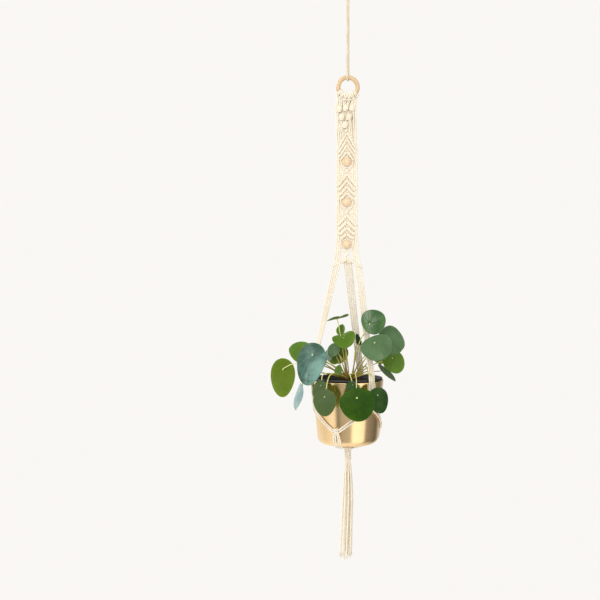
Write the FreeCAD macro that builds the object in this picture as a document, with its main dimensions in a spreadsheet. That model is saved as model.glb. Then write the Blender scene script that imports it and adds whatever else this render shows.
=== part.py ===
"""Hanging macrame planter: a screw hook, a doubled hanging cord, a wooden ring, a knotted cotton
band with three wooden beads, three legs that carry a brass pot, a tassel, and a potted plant.

Millimetres, +Z up. The origin is the centre of the ceiling plate's top face, so almost everything
hangs below z = 0. +X is the planter's right and -Y its front. Every level is a height below that
face, written as a positive drop in the sheet.
"""
import FreeCAD, Part
import math
import os
import Sketcher
from FreeCAD import Placement, Rotation, Vector

doc = FreeCAD.newDocument("hanging_macrame_planter")
sheet = doc.addObject("Spreadsheet::Sheet", "Sizes")

DRIVING_SIZES = [
    ("cord_diameter", 3.5), ("twine_diameter", 3.3), ("running_gap", 0.3),
    ("plate_diameter", 38), ("plate_thickness", 5), ("hook_wire", 5), ("hook_radius", 13),
    ("hook_bend", 6), ("hook_drop", 38), ("screw_radius", 2.25), ("screw_length", 24),
    ("screw_tip", 4), ("knot_drop", 77), ("knot_width", 12), ("knot_height", 16),
    ("ring_drop", 275), ("ring_outer", 50), ("ring_tube", 9.4),
    ("head_width", 19), ("head_wrap", 3.3), ("heads_shift", 4),
    ("band_middle", -2), ("edge_reach", 19.6),
    ("berry_width", 13.4), ("berry_height", 16.6),
    ("hitch_thickness", 6.8), ("web_thickness", 2.4),
    ("bead_diameter", 20), ("bead_bore", 7.8),
    ("wing_thickness", 6.4), ("leg_spacing", 3.8), ("first_leg_turn", 189),
    ("rim_drop", 889), ("rim_diameter", 150), ("base_diameter", 125), ("pot_height", 132),
    ("pot_wall", 1.2), ("pot_corner", 14), ("rim_round", 0.5), ("split_drop", 941), ("cradle_drop", 987),
    ("cradle_knot_width", 12), ("cradle_knot_height", 14),
    ("gather_top", 1027), ("gather_radius", 17), ("wrap_top", 1034), ("wrap_bottom", 1059.5),
    ("wrap_diameter", 14.4), ("tassel_top", 1065), ("tassel_bottom", 1257),
    ("liner_rim_drop", 884), ("liner_rim_diameter", 145), ("liner_base_diameter", 94),
    ("liner_wall", 1.4), ("liner_lip", 4), ("liner_base_drop", 1019.4), ("soil_drop", 893),
    ("soil_gap", 0.5), ("crown_x", 4), ("crown_height", 12), ("crown_low", 9), ("crown_high", 5),
    ("petiole_diameter", 3), ("blade_thickness", 1.2),
]
for row, (alias, number) in enumerate(DRIVING_SIZES, start=1):
    sheet.set(f"A{row}", alias)
    sheet.set(f"B{row}", str(number))
    sheet.setAlias(f"B{row}", alias)
doc.recompute()


def size(alias):
    """A driving size from the sheet."""
    return float(sheet.get(alias))


def value(expression):
    """What an expression of the sheet's cells comes to."""
    return float(sheet.evalExpression(expression))


def bind(feature, **expressions):
    """Binds a feature's properties to expressions of the sheet's cells, then returns it."""
    for name, expression in expressions.items():
        feature.setExpression(name, expression)
    return feature


def at(x=0, y=0, z=0, axis=(0, 0, 1), turn=0):
    return Placement(Vector(x, y, z), Rotation(Vector(*axis), turn))


def primitive(kind, name, placement, **expressions):
    feature = doc.addObject("Part::" + kind, name)
    feature.Placement = placement
    return bind(feature, **expressions)


subparts = []


def subpart(feature, label):
    """Marks a finished object as one physical piece, named as its file will be."""
    feature.Label = label
    subparts.append(feature)
    return feature


def combine(kind, label, parts):
    """A Cut of two objects, or a MultiFuse or Compound of several, as one physical piece."""
    feature = doc.addObject("Part::" + kind, label)
    if kind == "Cut":
        feature.Base, feature.Tool = parts
    elif kind == "Compound":
        feature.Links = parts
    else:
        feature.Shapes = parts
    return subpart(feature, label)


def solids(label, shapes):
    """One physical piece, or a group of like ones, from shapes made by Part's own functions."""
    feature = doc.addObject("Part::Feature", label)
    feature.Shape = shapes[0] if len(shapes) == 1 else Part.makeCompound(shapes)
    feature.Placement = Placement()
    return subpart(feature, label)


CORD = size("cord_diameter")
TWINE = size("twine_diameter")
GAP = size("running_gap")

# ---- Cords: straight runs joined by tangent arcs -------------------------------------------------

bend_radii = []


def corner_arc(before, corner, after, radius):
    """Start, middle and end points of the arc that rounds one corner of a route."""
    back, ahead = (before - corner), (after - corner)
    shorter = min(back.Length, ahead.Length)
    back.normalize()
    ahead.normalize()
    half_turn = (math.pi - back.getAngle(ahead)) / 2
    bend = radius or 0.45 * shorter / math.tan(half_turn)
    bend_radii.append(bend)
    reach = bend * math.tan(half_turn)
    inward = (back + ahead).normalize()
    middle = corner + inward * (bend / math.cos(half_turn) - bend)
    return corner + back * reach, middle, corner + ahead * reach


def tube(points, diameter, radii=None):
    """A round cord along a route. radii gives the bend at a corner where something sets it."""
    points = [Vector(*p) for p in points]
    edges, start = [], points[0]
    for i in range(1, len(points) - 1):
        given = radii[i - 1] if radii else None
        first, middle, last = corner_arc(points[i - 1], points[i], points[i + 1], given)
        if (first - start).Length > 1e-4:
            edges.append(Part.LineSegment(start, first).toShape())
        edges.append(Part.Arc(first, middle, last).toShape())
        start = last
    if (points[-1] - start).Length > 1e-4:
        edges.append(Part.LineSegment(start, points[-1]).toShape())
    path = Part.Wire(edges)
    heading = points[1] - points[0]
    section = Part.Wire(Part.makeCircle(diameter / 2, points[0], heading))
    swept = path.makePipeShell([section], True, False)
    expected = math.pi * diameter ** 2 / 4 * path.Length
    if not swept.isValid() or abs(swept.Volume / expected - 1) > 0.02:
        raise RuntimeError(f"a cord's solid is wrong: {swept.Volume:.1f} for {expected:.1f} mm3")
    return swept


def rod(start, end, diameter):
    """A straight rod with rounded ends, as a tight row of hitches is."""
    start, end = Vector(*start), Vector(*end)
    run = end - start
    shape = Part.makeCylinder(diameter / 2, run.Length, start, run)
    for tip in (start, end):
        shape = shape.fuse(Part.makeSphere(diameter / 2, tip))
    return shape.removeSplitter()


def ellipsoid(centre, width, depth, height, turn=0):
    """A knot's outer shape, turned about Z by an angle in degrees."""
    matrix = FreeCAD.Matrix()
    matrix.scale(width / 2, depth / 2, height / 2)
    matrix.rotateZ(math.radians(turn))
    matrix.move(Vector(*centre))
    return Part.makeSphere(1).transformGeometry(matrix)


def trimmed(shape, *neighbours):
    """What is left of a cord outside its neighbours: the longest piece of it."""
    for neighbour in neighbours:
        shape = shape.cut(neighbour)
    return max(shape.Solids, key=lambda solid: solid.Volume)


# ---- Ceiling hook --------------------------------------------------------------------------------

plate_disc = primitive(
    "Cone", "plate_disc", at(), Radius1="Sizes.plate_diameter / 2 - 3",
    Radius2="Sizes.plate_diameter / 2", Height="Sizes.plate_thickness")
bind(plate_disc, **{".Placement.Base.z": "-Sizes.plate_thickness"})
plate_hole = primitive(
    "Cylinder", "plate_hole", at(), Radius="Sizes.hook_wire / 2", Height="3 * Sizes.plate_thickness")
bind(plate_hole, **{".Placement.Base.z": "-2 * Sizes.plate_thickness"})
combine("Cut", "ceiling_plate", [plate_disc, plate_hole])


def screw_hook():
    """Shank, S-bend and open circle of one wire in the YZ plane, and its screw above."""
    wire, circle, bend = size("hook_wire"), size("hook_radius"), size("hook_bend")
    middle = Vector(0, 0, -size("hook_drop"))
    rise = math.sqrt((bend + circle) ** 2 - bend ** 2)
    bend_middle = middle + Vector(0, -bend, rise)
    meeting = bend_middle + (middle - bend_middle) * (bend / (bend + circle))

    def on_bend(turn):
        return bend_middle + Vector(0, math.cos(turn), math.sin(turn)) * bend

    def on_circle(turn):
        return middle + Vector(0, math.cos(turn), math.sin(turn)) * circle

    leave = math.atan2(meeting.z - bend_middle.z, meeting.y - bend_middle.y)
    join = math.atan2(meeting.z - middle.z, meeting.y - middle.y)
    tip = math.radians(385)
    path = Part.Wire([
        Part.LineSegment(Vector(0, 0, 0), on_bend(0)).toShape(),
        Part.Arc(on_bend(0), on_bend(leave / 2), meeting).toShape(),
        Part.Arc(meeting, on_circle((join + tip) / 2), on_circle(tip)).toShape()])
    section = Part.Wire(Part.makeCircle(wire / 2, Vector(0, 0, 0), Vector(0, 0, 1)))
    hook = path.makePipeShell([section], True, False)
    hook = hook.fuse(Part.makeSphere(wire / 2, on_circle(tip)))
    screw = size("screw_radius")
    hook = hook.fuse(Part.makeCylinder(screw, size("screw_length"), Vector(0, 0, 0)))
    point = Part.makeCone(screw, 0.4, size("screw_tip"), Vector(0, 0, size("screw_length")))
    return hook.fuse(point).removeSplitter()


solids("screw_hook", [screw_hook()])

# ---- Eye, top knot and hanging cord --------------------------------------------------------------

WIRE_LOW = -size("hook_drop") - size("hook_radius")
KNOT_Z = -size("knot_drop")
knot_shape = ellipsoid((0, 0, KNOT_Z), size("knot_width"), size("knot_width") - 2,
                       size("knot_height"))
eye_side = size("hook_wire") / 2 + GAP + TWINE / 2
eye_foot = KNOT_Z + size("knot_height") / 2 - 3
eye_route = [(-1.8, 0, eye_foot), (-eye_side, 0, WIRE_LOW - 6), (-eye_side, 0, WIRE_LOW + eye_side),
             (eye_side, 0, WIRE_LOW + eye_side), (eye_side, 0, WIRE_LOW - 6), (1.8, 0, eye_foot)]
eye_shape = tube(eye_route, TWINE, [10, eye_side * 0.999, eye_side * 0.999, 10])
solids("eye_loop", [eye_shape.cut(knot_shape)])
solids("top_knot", [knot_shape])

RING_Z = -size("ring_drop")
TUBE_Z = RING_Z + (size("ring_outer") - size("ring_tube")) / 2
bight = size("ring_tube") / 2 + GAP + TWINE / 2
cord_top = KNOT_Z - size("knot_height") / 2 - 2 * GAP
half_pair = 1.75
hanging_route = [(-half_pair, 0, cord_top), (-half_pair, -bight, TUBE_Z - bight),
                 (half_pair, bight, TUBE_Z - bight), (half_pair, 0, cord_top)]
solids("hanging_cord", [tube(hanging_route, TWINE, [bight, bight])])

# ---- Wooden ring and the six lark's heads on it --------------------------------------------------

ring = primitive(
    "Torus", "wood_ring", at(z=RING_Z, axis=(1, 0, 0), turn=90),
    Radius1="(Sizes.ring_outer - Sizes.ring_tube) / 2", Radius2="Sizes.ring_tube / 2")
subpart(ring, "wood_ring")
heads, head_leans = [], []
for step in range(6):
    lean = (step - 2.5) * (size("head_width") + 1) - size("heads_shift")
    head_leans.append(lean)
    head = primitive(
        "Torus", f"head_{step}", at(),
        Radius1="(Sizes.ring_outer - Sizes.ring_tube) / 2",
        Radius2="Sizes.ring_tube / 2 + Sizes.head_wrap", Angle3="Sizes.head_width")
    swing = Rotation(Vector(0, 1, 0), 90 - lean + size("head_width") / 2)
    head.Placement = Placement(Vector(0, 0, RING_Z), swing * Rotation(Vector(1, 0, 0), 90))
    wrapped = doc.addObject("Part::Cut", f"wrapped_head_{step}")
    wrapped.Base, wrapped.Tool = head, ring
    heads.append(wrapped)
knots_on_ring = combine("Compound", "larks_head_knots", heads)
doc.recompute()

# ---- Berry knots: three, two and one, and a small knot under them --------------------------------

BERRY_ROWS = [
    ("berry_knots_upper", [(-18.6, -321.4), (-5.0, -319.4), (8.8, -319.6)]),
    ("berry_knots_middle", [(-13.4, -338.2), (2.2, -338.0)]),
    ("berry_knot_lower", [(-5.8, -354.8)]),
]
BERRY_DEPTH = 12
berries = []
for label, places in BERRY_ROWS:
    row = [ellipsoid((x, 0, z), size("berry_width") + (0 if len(places) == 3 else 1), BERRY_DEPTH,
                     size("berry_height")) for x, z in places]
    berries += row
    solids(label, row)
collar = ellipsoid((-3.6, 0, -366.4), 9, 7, 6.4)
solids("collar_knot", [collar])

hung = []
ring_middle = (size("ring_outer") - size("ring_tube")) / 2
for step, lean in enumerate(head_leans):
    berry_x, berry_z = BERRY_ROWS[0][1][step // 2]
    for side in (-1, 1):
        turn = math.radians(lean + side * size("head_width") / 3.6)
        reach = ring_middle + size("ring_tube") / 2
        start = (reach * math.sin(turn), 0, RING_Z - reach * math.cos(turn))
        place = (step % 2) * 2 + (side + 1) / 2 - 1.5
        end = (berry_x + place * (CORD - 0.4), 0, berry_z + size("berry_height") / 2 - 3)
        hung.append(trimmed(tube([start, end], CORD - 1), ring.Shape, knots_on_ring.Shape, *berries))
solids("ring_cords", hung)

# ---- Three leaf-shaped panels of diagonal hitches, their eye cords and crossings -----------------

MIDDLE = size("band_middle")
HITCH = size("hitch_thickness")
ROWS = 4
PANELS = [
    # height of the first row's start, its fall to the edge, fall from row to row at the edge
    {"apex": -373.2, "fall": 33, "edge_step": 7.4, "bead": -433, "crossing": -450},
    {"apex": -459.6, "fall": 23.5, "edge_step": 9.3, "bead": -518, "crossing": -536},
    {"apex": -545.4, "fall": 20, "edge_step": 9.8, "bead": -606, "crossing": -625},
]
MIDDLE_STEP = 13


def hitch_row(panel, side, row):
    """Start near the middle and end at the edge of one diagonal row."""
    inner = 3.5 + 0.3 * row
    outer = size("edge_reach") - 2 * row
    top = panel["apex"] - MIDDLE_STEP * row
    bottom = panel["apex"] - panel["fall"] - panel["edge_step"] * row
    return (MIDDLE + side * inner, 0, top), (MIDDLE + side * outer, 0, bottom)


def half_panel(panel, side):
    rows = [hitch_row(panel, side, row) for row in range(ROWS)]
    half_web = size("web_thickness") / 2
    corners = [rows[0][0], rows[0][1], rows[-1][1], rows[-1][0], rows[0][0]]
    outline = Part.makePolygon([Vector(x, -half_web, z) for x, _, z in corners])
    shape = Part.Face(outline).extrude(Vector(0, 2 * half_web, 0))
    for start, end in rows:
        shape = shape.fuse(rod(start, end, HITCH))
    return shape.removeSplitter()


BEAD = size("bead_diameter")
CORE_REACH = 13
halves = {}
for number, panel in enumerate(PANELS):
    left, right = half_panel(panel, -1), half_panel(panel, 1)
    halves[number] = (left, right)
    solids(f"leaf_panel_{number + 1}", [left, right])
    crossing = ellipsoid((MIDDLE, 0, panel["crossing"]), 8.4, 7, 8)
    cores, eyes = [], []
    for side in (-1, 1):
        x = MIDDLE + side * (CORD / 2 + 0.02)
        core = rod((x, 0, panel["bead"] + CORE_REACH), (x, 0, panel["bead"] - CORE_REACH), CORD - 0.1)
        cores.append(trimmed(core, crossing, left, right))
        last_end = hitch_row(panel, side, ROWS - 1)[1]
        beside_bead = BEAD / 2 + 1.2 + CORD / 2
        route = [(last_end[0], 0, last_end[2]), (MIDDLE + side * beside_bead, 0, panel["bead"] - 4),
                 (MIDDLE + side * 6.4, 0, panel["bead"] - 14),
                 (MIDDLE + side * 2.4, 0, panel["crossing"] - 1)]
        eyes.append(trimmed(tube(route, CORD), crossing, left, right))
    solids(f"bead_cords_{number + 1}", cores)
    solids(f"eye_cords_{number + 1}", [trimmed(eye, *cores) for eye in eyes])
    solids(f"crossing_knot_{number + 1}", [crossing])
    ball = primitive("Sphere", f"ball_{number + 1}", at(MIDDLE, 0, panel["bead"]),
                     Radius="Sizes.bead_diameter / 2")
    bore = primitive("Cylinder", f"bore_{number + 1}", at(MIDDLE, 0, panel["bead"] - BEAD),
                     Radius="Sizes.bead_bore / 2", Height="2 * Sizes.bead_diameter")
    combine("Cut", f"bead_{number + 1}", [ball, bore])

# ---- Shoulder cords from the berry knots to the first panel --------------------------------------

SHOULDER_STARTS = {-1: [(-24.6, -323), (-21.2, -325), (-16.4, -344), (-12.6, -346)],
                   1: [(15.8, -321), (11.8, -323), (6.4, -344), (2.8, -346)]}
# How far out along the first row each shoulder cord meets it.
SHOULDER_SHARES = (1, 0.76, 0.52, 0.28)
shoulders = []
for side, starts in SHOULDER_STARTS.items():
    (inner_x, _, inner_z), (outer_x, _, outer_z) = hitch_row(PANELS[0], side, 0)
    for place, (x, z) in enumerate(starts):
        share = SHOULDER_SHARES[place]
        end = (inner_x + (outer_x - inner_x) * share, 0, inner_z + (outer_z - inner_z) * share)
        shoulders.append(trimmed(tube([(x, 0, z), end], CORD - 0.2), *berries, *halves[0]))
solids("shoulder_cords", shoulders)

# ---- Straight cords along both edges of the band -------------------------------------------------

EDGE = size("edge_reach")
FLARE_TOP = -606
WINGS_Z = -646
side_runs = {-1: [], 1: []}
for side in (-1, 1):
    for number in range(2):
        upper, lower = PANELS[number], PANELS[number + 1]
        for inset in (-1.2, 2.4):
            x = MIDDLE + side * (EDGE - inset)
            route = [(x, 0, upper["apex"] - upper["fall"]), (x, 0, lower["apex"] - lower["fall"])]
            side_runs[side].append(trimmed(tube(route, CORD), *halves[number], *halves[number + 1]))
    last = PANELS[-1]
    for inset, flare in ((-1.2, 6), (2.4, 4.4)):
        x = MIDDLE + side * (EDGE - inset)
        route = [(x, 0, last["apex"] - last["fall"]), (x, 0, FLARE_TOP), (x + side * flare, 0, WINGS_Z)]
        side_runs[side].append(trimmed(tube(route, CORD), *halves[2]))

# ---- Wings and the three legs of four cords ------------------------------------------------------

WING = size("wing_thickness")
WINGS = {"left": ((-3.4, 0, -638.2), (-30.6, 0, -650)), "right": ((3.6, 0, -638.2), (28.6, 0, -652.6))}
for name, side in (("left", -1), ("right", 1)):
    start, end = WINGS[name]
    wing = rod(start, end, WING)
    solids(f"wing_{name}", [wing])
    solids(f"side_cords_{name}", [trimmed(run, wing) for run in side_runs[side]])

RIM_Z = -size("rim_drop")
RIM_R = size("rim_diameter") / 2
SLOPE = (size("rim_diameter") - size("base_diameter")) / 2 / size("pot_height")
LIE = CORD / 2 + 0.4


def on_pot(turn, z, lift=LIE):
    """A point beside the pot's tapered wall. turn is in degrees."""
    r = RIM_R - SLOPE * (RIM_Z - z) + lift
    return (r * math.cos(math.radians(turn)), r * math.sin(math.radians(turn)), z)


def beside(turn, z, offset, lift=LIE):
    """As on_pot, moved sideways along the wall by offset millimetres."""
    r = RIM_R - SLOPE * (RIM_Z - z) + lift
    return on_pot(turn + math.degrees(offset / r), z, lift)


LEG_TURNS = {"left": size("first_leg_turn"), "right": size("first_leg_turn") + 120,
             "back": size("first_leg_turn") + 240}
LEG_TOPS = {
    "left": [(-31.8 + 4.6 * i, 2.4 - 1.6 * i, -655.2 + 2.0 * i) for i in range(4)],
    "right": [(14.6 + 4.6 * i, -2.4 + 1.6 * i, -649.4 - 2.65 * i) for i in range(4)],
    "back": [(6.8 - 4.6 * i, 4.4 + 0.4 * i, -644.6) for i in range(4)],
}
OVER_RIM = 2.5


def wall_offset(i):
    return (i - 1.5) * size("leg_spacing")


leg_bottoms = {}
for name, turn in LEG_TURNS.items():
    ends = [beside(turn, RIM_Z + OVER_RIM, wall_offset(i), LIE + 0.3) for i in range(4)]
    leg_bottoms[name] = ends
    solids(f"leg_{name}", [tube([top, end], CORD) for top, end in zip(LEG_TOPS[name], ends)])

# ---- Brass pot -----------------------------------------------------------------------------------

VERTICAL_AXIS = -2
ORIGIN_POINT = (-1, 1)


def turned_body(label, profile):
    """A Body turned about Z. profile gives each corner's radius and drop as expressions of the sheet."""
    body = doc.addObject("PartDesign::Body", label)
    sketch = body.newObject("Sketcher::SketchObject", label + "_profile")
    plane = next(f for f in body.Origin.OriginFeatures if f.Role == "XZ_Plane")
    sketch.AttachmentSupport = [(plane, "")]
    sketch.MapMode = "FlatFace"
    corners = [Vector(value(radius), -value(drop), 0) for radius, drop in profile]
    for start, end in zip(corners, corners[1:] + corners[:1]):
        sketch.addGeometry(Part.LineSegment(start, end), False)
    for i, (radius, drop) in enumerate(profile):
        following = (i + 1) % len(profile)
        sketch.addConstraint(Sketcher.Constraint("Coincident", i, 2, following, 1))
        if radius == "0":
            sketch.addConstraint(Sketcher.Constraint("PointOnObject", i, 1, VERTICAL_AXIS))
        else:
            across = sketch.addConstraint(
                Sketcher.Constraint("DistanceX", *ORIGIN_POINT, i, 1, value(radius)))
            sketch.setExpression(f"Constraints[{across}]", radius)
        down = sketch.addConstraint(
            Sketcher.Constraint("DistanceY", i, 1, *ORIGIN_POINT, value(drop)))
        sketch.setExpression(f"Constraints[{down}]", drop)
    turn = body.newObject("PartDesign::Revolution", label + "_turn")
    turn.Profile = sketch
    turn.ReferenceAxis = (sketch, ["V_Axis"])
    turn.Angle = 360
    doc.recompute()
    return body, turn


RIM_RADIUS = "Sizes.rim_diameter / 2"
BASE_RADIUS = "Sizes.base_diameter / 2"
BASE_DROP = "Sizes.rim_drop + Sizes.pot_height"
INSIDE_DROP = f"{BASE_DROP} - Sizes.pot_wall"
INSIDE_RADIUS = f"{BASE_RADIUS} - Sizes.pot_wall * (1 - ({RIM_RADIUS} - {BASE_RADIUS}) / Sizes.pot_height)"
pot, pot_turn = turned_body("pot", [
    ("0", BASE_DROP), (BASE_RADIUS, BASE_DROP), (RIM_RADIUS, "Sizes.rim_drop"),
    (f"{RIM_RADIUS} - Sizes.pot_wall", "Sizes.rim_drop"), (INSIDE_RADIUS, INSIDE_DROP),
    ("0", INSIDE_DROP)])


def round_edges(body, base, name, wanted):
    """Fillets circular edges of base. wanted gives each edge's radius and drop, and the fillet's size."""
    current = base
    for number, (radius, drop, bend) in enumerate(wanted):
        edges = [f"Edge{i}" for i, edge in enumerate(current.Shape.Edges, start=1)
                 if hasattr(edge.Curve, "Radius") and abs(edge.Curve.Radius - value(radius)) < 0.05
                 and abs(edge.Curve.Center.z + value(drop)) < 0.05]
        fillet = body.newObject("PartDesign::Fillet", f"{name}_{number}")
        fillet.Base = (current, edges)
        fillet.Radius = value(bend)
        bind(fillet, Radius=bend)
        doc.recompute()
        current = fillet
    body.Tip = current


round_edges(pot, pot_turn, "pot_edge", [
    (BASE_RADIUS, BASE_DROP, "Sizes.pot_corner"),
    (INSIDE_RADIUS, INSIDE_DROP, "Sizes.pot_corner - Sizes.pot_wall"),
    (RIM_RADIUS, "Sizes.rim_drop", "Sizes.rim_round")])
subpart(pot, "pot")

# ---- Cradle: pairs of cords round the pot, knots, cords under it, wrap and tassel ----------------

SPLIT_Z = -size("split_drop")
CRADLE_Z = -size("cradle_drop")
KNOT_DEPTH = 7
cradle_knots = {}
for name, turn in (("front", 249), ("right", 9), ("back", 129)):
    knot = ellipsoid(on_pot(turn, CRADLE_Z, KNOT_DEPTH / 2 + 0.5), size("cradle_knot_width"),
                     KNOT_DEPTH, size("cradle_knot_height"), turn + 90)
    cradle_knots[name] = (turn, knot)
DIAGONAL_STEPS = 5
for name, turn in LEG_TURNS.items():
    strands = []
    for i in range(4):
        offset = wall_offset(i)
        side = 1 if offset > 0 else -1
        height = 2.35 if abs(offset) > size("leg_spacing") else -2.35
        route = [beside(turn, RIM_Z - 0.5, offset, LIE + 0.1), beside(turn, SPLIT_Z + height, offset)]
        for step in range(1, DIAGONAL_STEPS + 1):
            share = step / DIAGONAL_STEPS
            z = SPLIT_Z + height + share * (CRADLE_Z - SPLIT_Z)
            ahead = (60 - 5) * share
            route.append(beside(turn + side * ahead, z, offset * (1 - share), LIE + 0.5))
        strands.append(trimmed(tube(route, CORD), *[knot for _, knot in cradle_knots.values()]))
    solids(f"cradle_cords_{name}", strands)

GATHER_Z = -size("gather_top")
GATHER_R = size("gather_radius")
for name, (turn, knot) in cradle_knots.items():
    solids(f"cradle_knot_{name}", [knot])
    strands = []
    for i in range(4):
        offset = wall_offset(i)
        fan = (i - 1.5) * 30
        start = beside(turn, CRADLE_Z - 4, offset)
        corner_turn = turn + fan * 0.12
        corner_r = size("base_diameter") / 2 + LIE * 0.9
        corner = (corner_r * math.cos(math.radians(corner_turn)),
                  corner_r * math.sin(math.radians(corner_turn)), RIM_Z - size("pot_height") - LIE)
        end = ((GATHER_R + 1) * math.cos(math.radians(turn + fan)),
               (GATHER_R + 1) * math.sin(math.radians(turn + fan)), GATHER_Z - 2.6)
        strands.append(trimmed(tube([start, corner, end], CORD, [size("pot_corner") + LIE]), knot))
    solids(f"base_cords_{name}", strands)

gathered = primitive(
    "Cone", "gathered_cords", at(), Radius1="Sizes.wrap_diameter / 2", Radius2="Sizes.gather_radius",
    Height="Sizes.wrap_top - Sizes.gather_top")
subpart(bind(gathered, **{".Placement.Base.z": "-Sizes.wrap_top"}), "gathered_cords")
wrap = primitive(
    "Cylinder", "gathering_wrap", at(), Radius="Sizes.wrap_diameter / 2",
    Height="Sizes.wrap_bottom - Sizes.wrap_top")
subpart(bind(wrap, **{".Placement.Base.z": "-Sizes.wrap_bottom"}), "gathering_wrap")

# Each tassel cord: where it leaves the wrap, a point half way, and its end.
TASSEL_TOP = -size("tassel_top")
TASSEL_END = -size("tassel_bottom")
TASSEL_TURNS = [20, 100, 215, 300] + [5 + 45 * k for k in range(8)]
tassel_cords = []
for k, turn in enumerate(TASSEL_TURNS):
    inner = k < 4
    across = Vector(math.cos(math.radians(turn)), math.sin(math.radians(turn)), 0)
    top = across * (2.55 if inner else 5.9)
    spread = across * (4.2 if inner else 11.5)
    lean = Vector(-4.2, 0, 0)
    length_difference = 5 * math.sin(2.3 * k)
    route = [top + Vector(0, 0, TASSEL_TOP),
             top * 1.15 + spread * 0.25 + Vector(0.6, 0, TASSEL_TOP - 62),
             top * 0.3 + spread * 0.75 + lean * 0.4 + Vector(0, 0, TASSEL_TOP - 124),
             spread + lean + Vector(0, 0, TASSEL_END + 5 + length_difference)]
    tassel_cords.append(tube([tuple(p) for p in route], CORD - 0.2))
solids("tassel", tassel_cords)

# ---- Potted plant: nursery pot, soil, leaf stalks and leaf blades --------------------------------

LINER_RADIUS = "Sizes.liner_rim_diameter / 2"
LINER_BASE_RADIUS = "Sizes.liner_base_diameter / 2"
LIP_DROP = "Sizes.liner_rim_drop + Sizes.liner_lip"
FLOOR_DROP = "Sizes.liner_base_drop - Sizes.liner_wall"
liner, liner_turn = turned_body("nursery_pot", [
    ("0", "Sizes.liner_base_drop"), (LINER_BASE_RADIUS, "Sizes.liner_base_drop"),
    (f"{LINER_RADIUS} - Sizes.liner_lip", LIP_DROP), (LINER_RADIUS, LIP_DROP),
    (LINER_RADIUS, "Sizes.liner_rim_drop"),
    (f"{LINER_RADIUS} - Sizes.liner_lip - Sizes.liner_wall", "Sizes.liner_rim_drop"),
    (f"{LINER_BASE_RADIUS} - Sizes.liner_wall", FLOOR_DROP), ("0", FLOOR_DROP)])
subpart(liner, "nursery_pot")

SOIL_Z = -size("soil_drop")
LINER_SLOPE = (f"(({LINER_RADIUS} - Sizes.liner_lip - {LINER_BASE_RADIUS})"
               f" / (Sizes.liner_base_drop - ({LIP_DROP})))")
SOIL_LOW_RADIUS = f"{LINER_BASE_RADIUS} - Sizes.liner_wall - Sizes.soil_gap"
soil = primitive(
    "Cone", "soil", at(), Radius1=SOIL_LOW_RADIUS,
    Radius2=f"{SOIL_LOW_RADIUS} + {LINER_SLOPE} * (Sizes.liner_base_drop - Sizes.soil_drop)",
    Height=f"{FLOOR_DROP} - Sizes.soil_gap - Sizes.soil_drop")
subpart(bind(soil, **{".Placement.Base.z": f"-({FLOOR_DROP} - Sizes.soil_gap)"}), "soil")

CROWN = Vector(size("crown_x"), 0, SOIL_Z)
ABOVE_SOIL = 0.05
stem = primitive("Cone", "plant_stem", at(z=SOIL_Z + ABOVE_SOIL), Radius1="Sizes.crown_low",
                 Radius2="Sizes.crown_high", Height="Sizes.crown_height")
bind(stem, **{".Placement.Base.x": "Sizes.crown_x"})
subpart(stem, "plant_stem")
doc.recompute()

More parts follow.
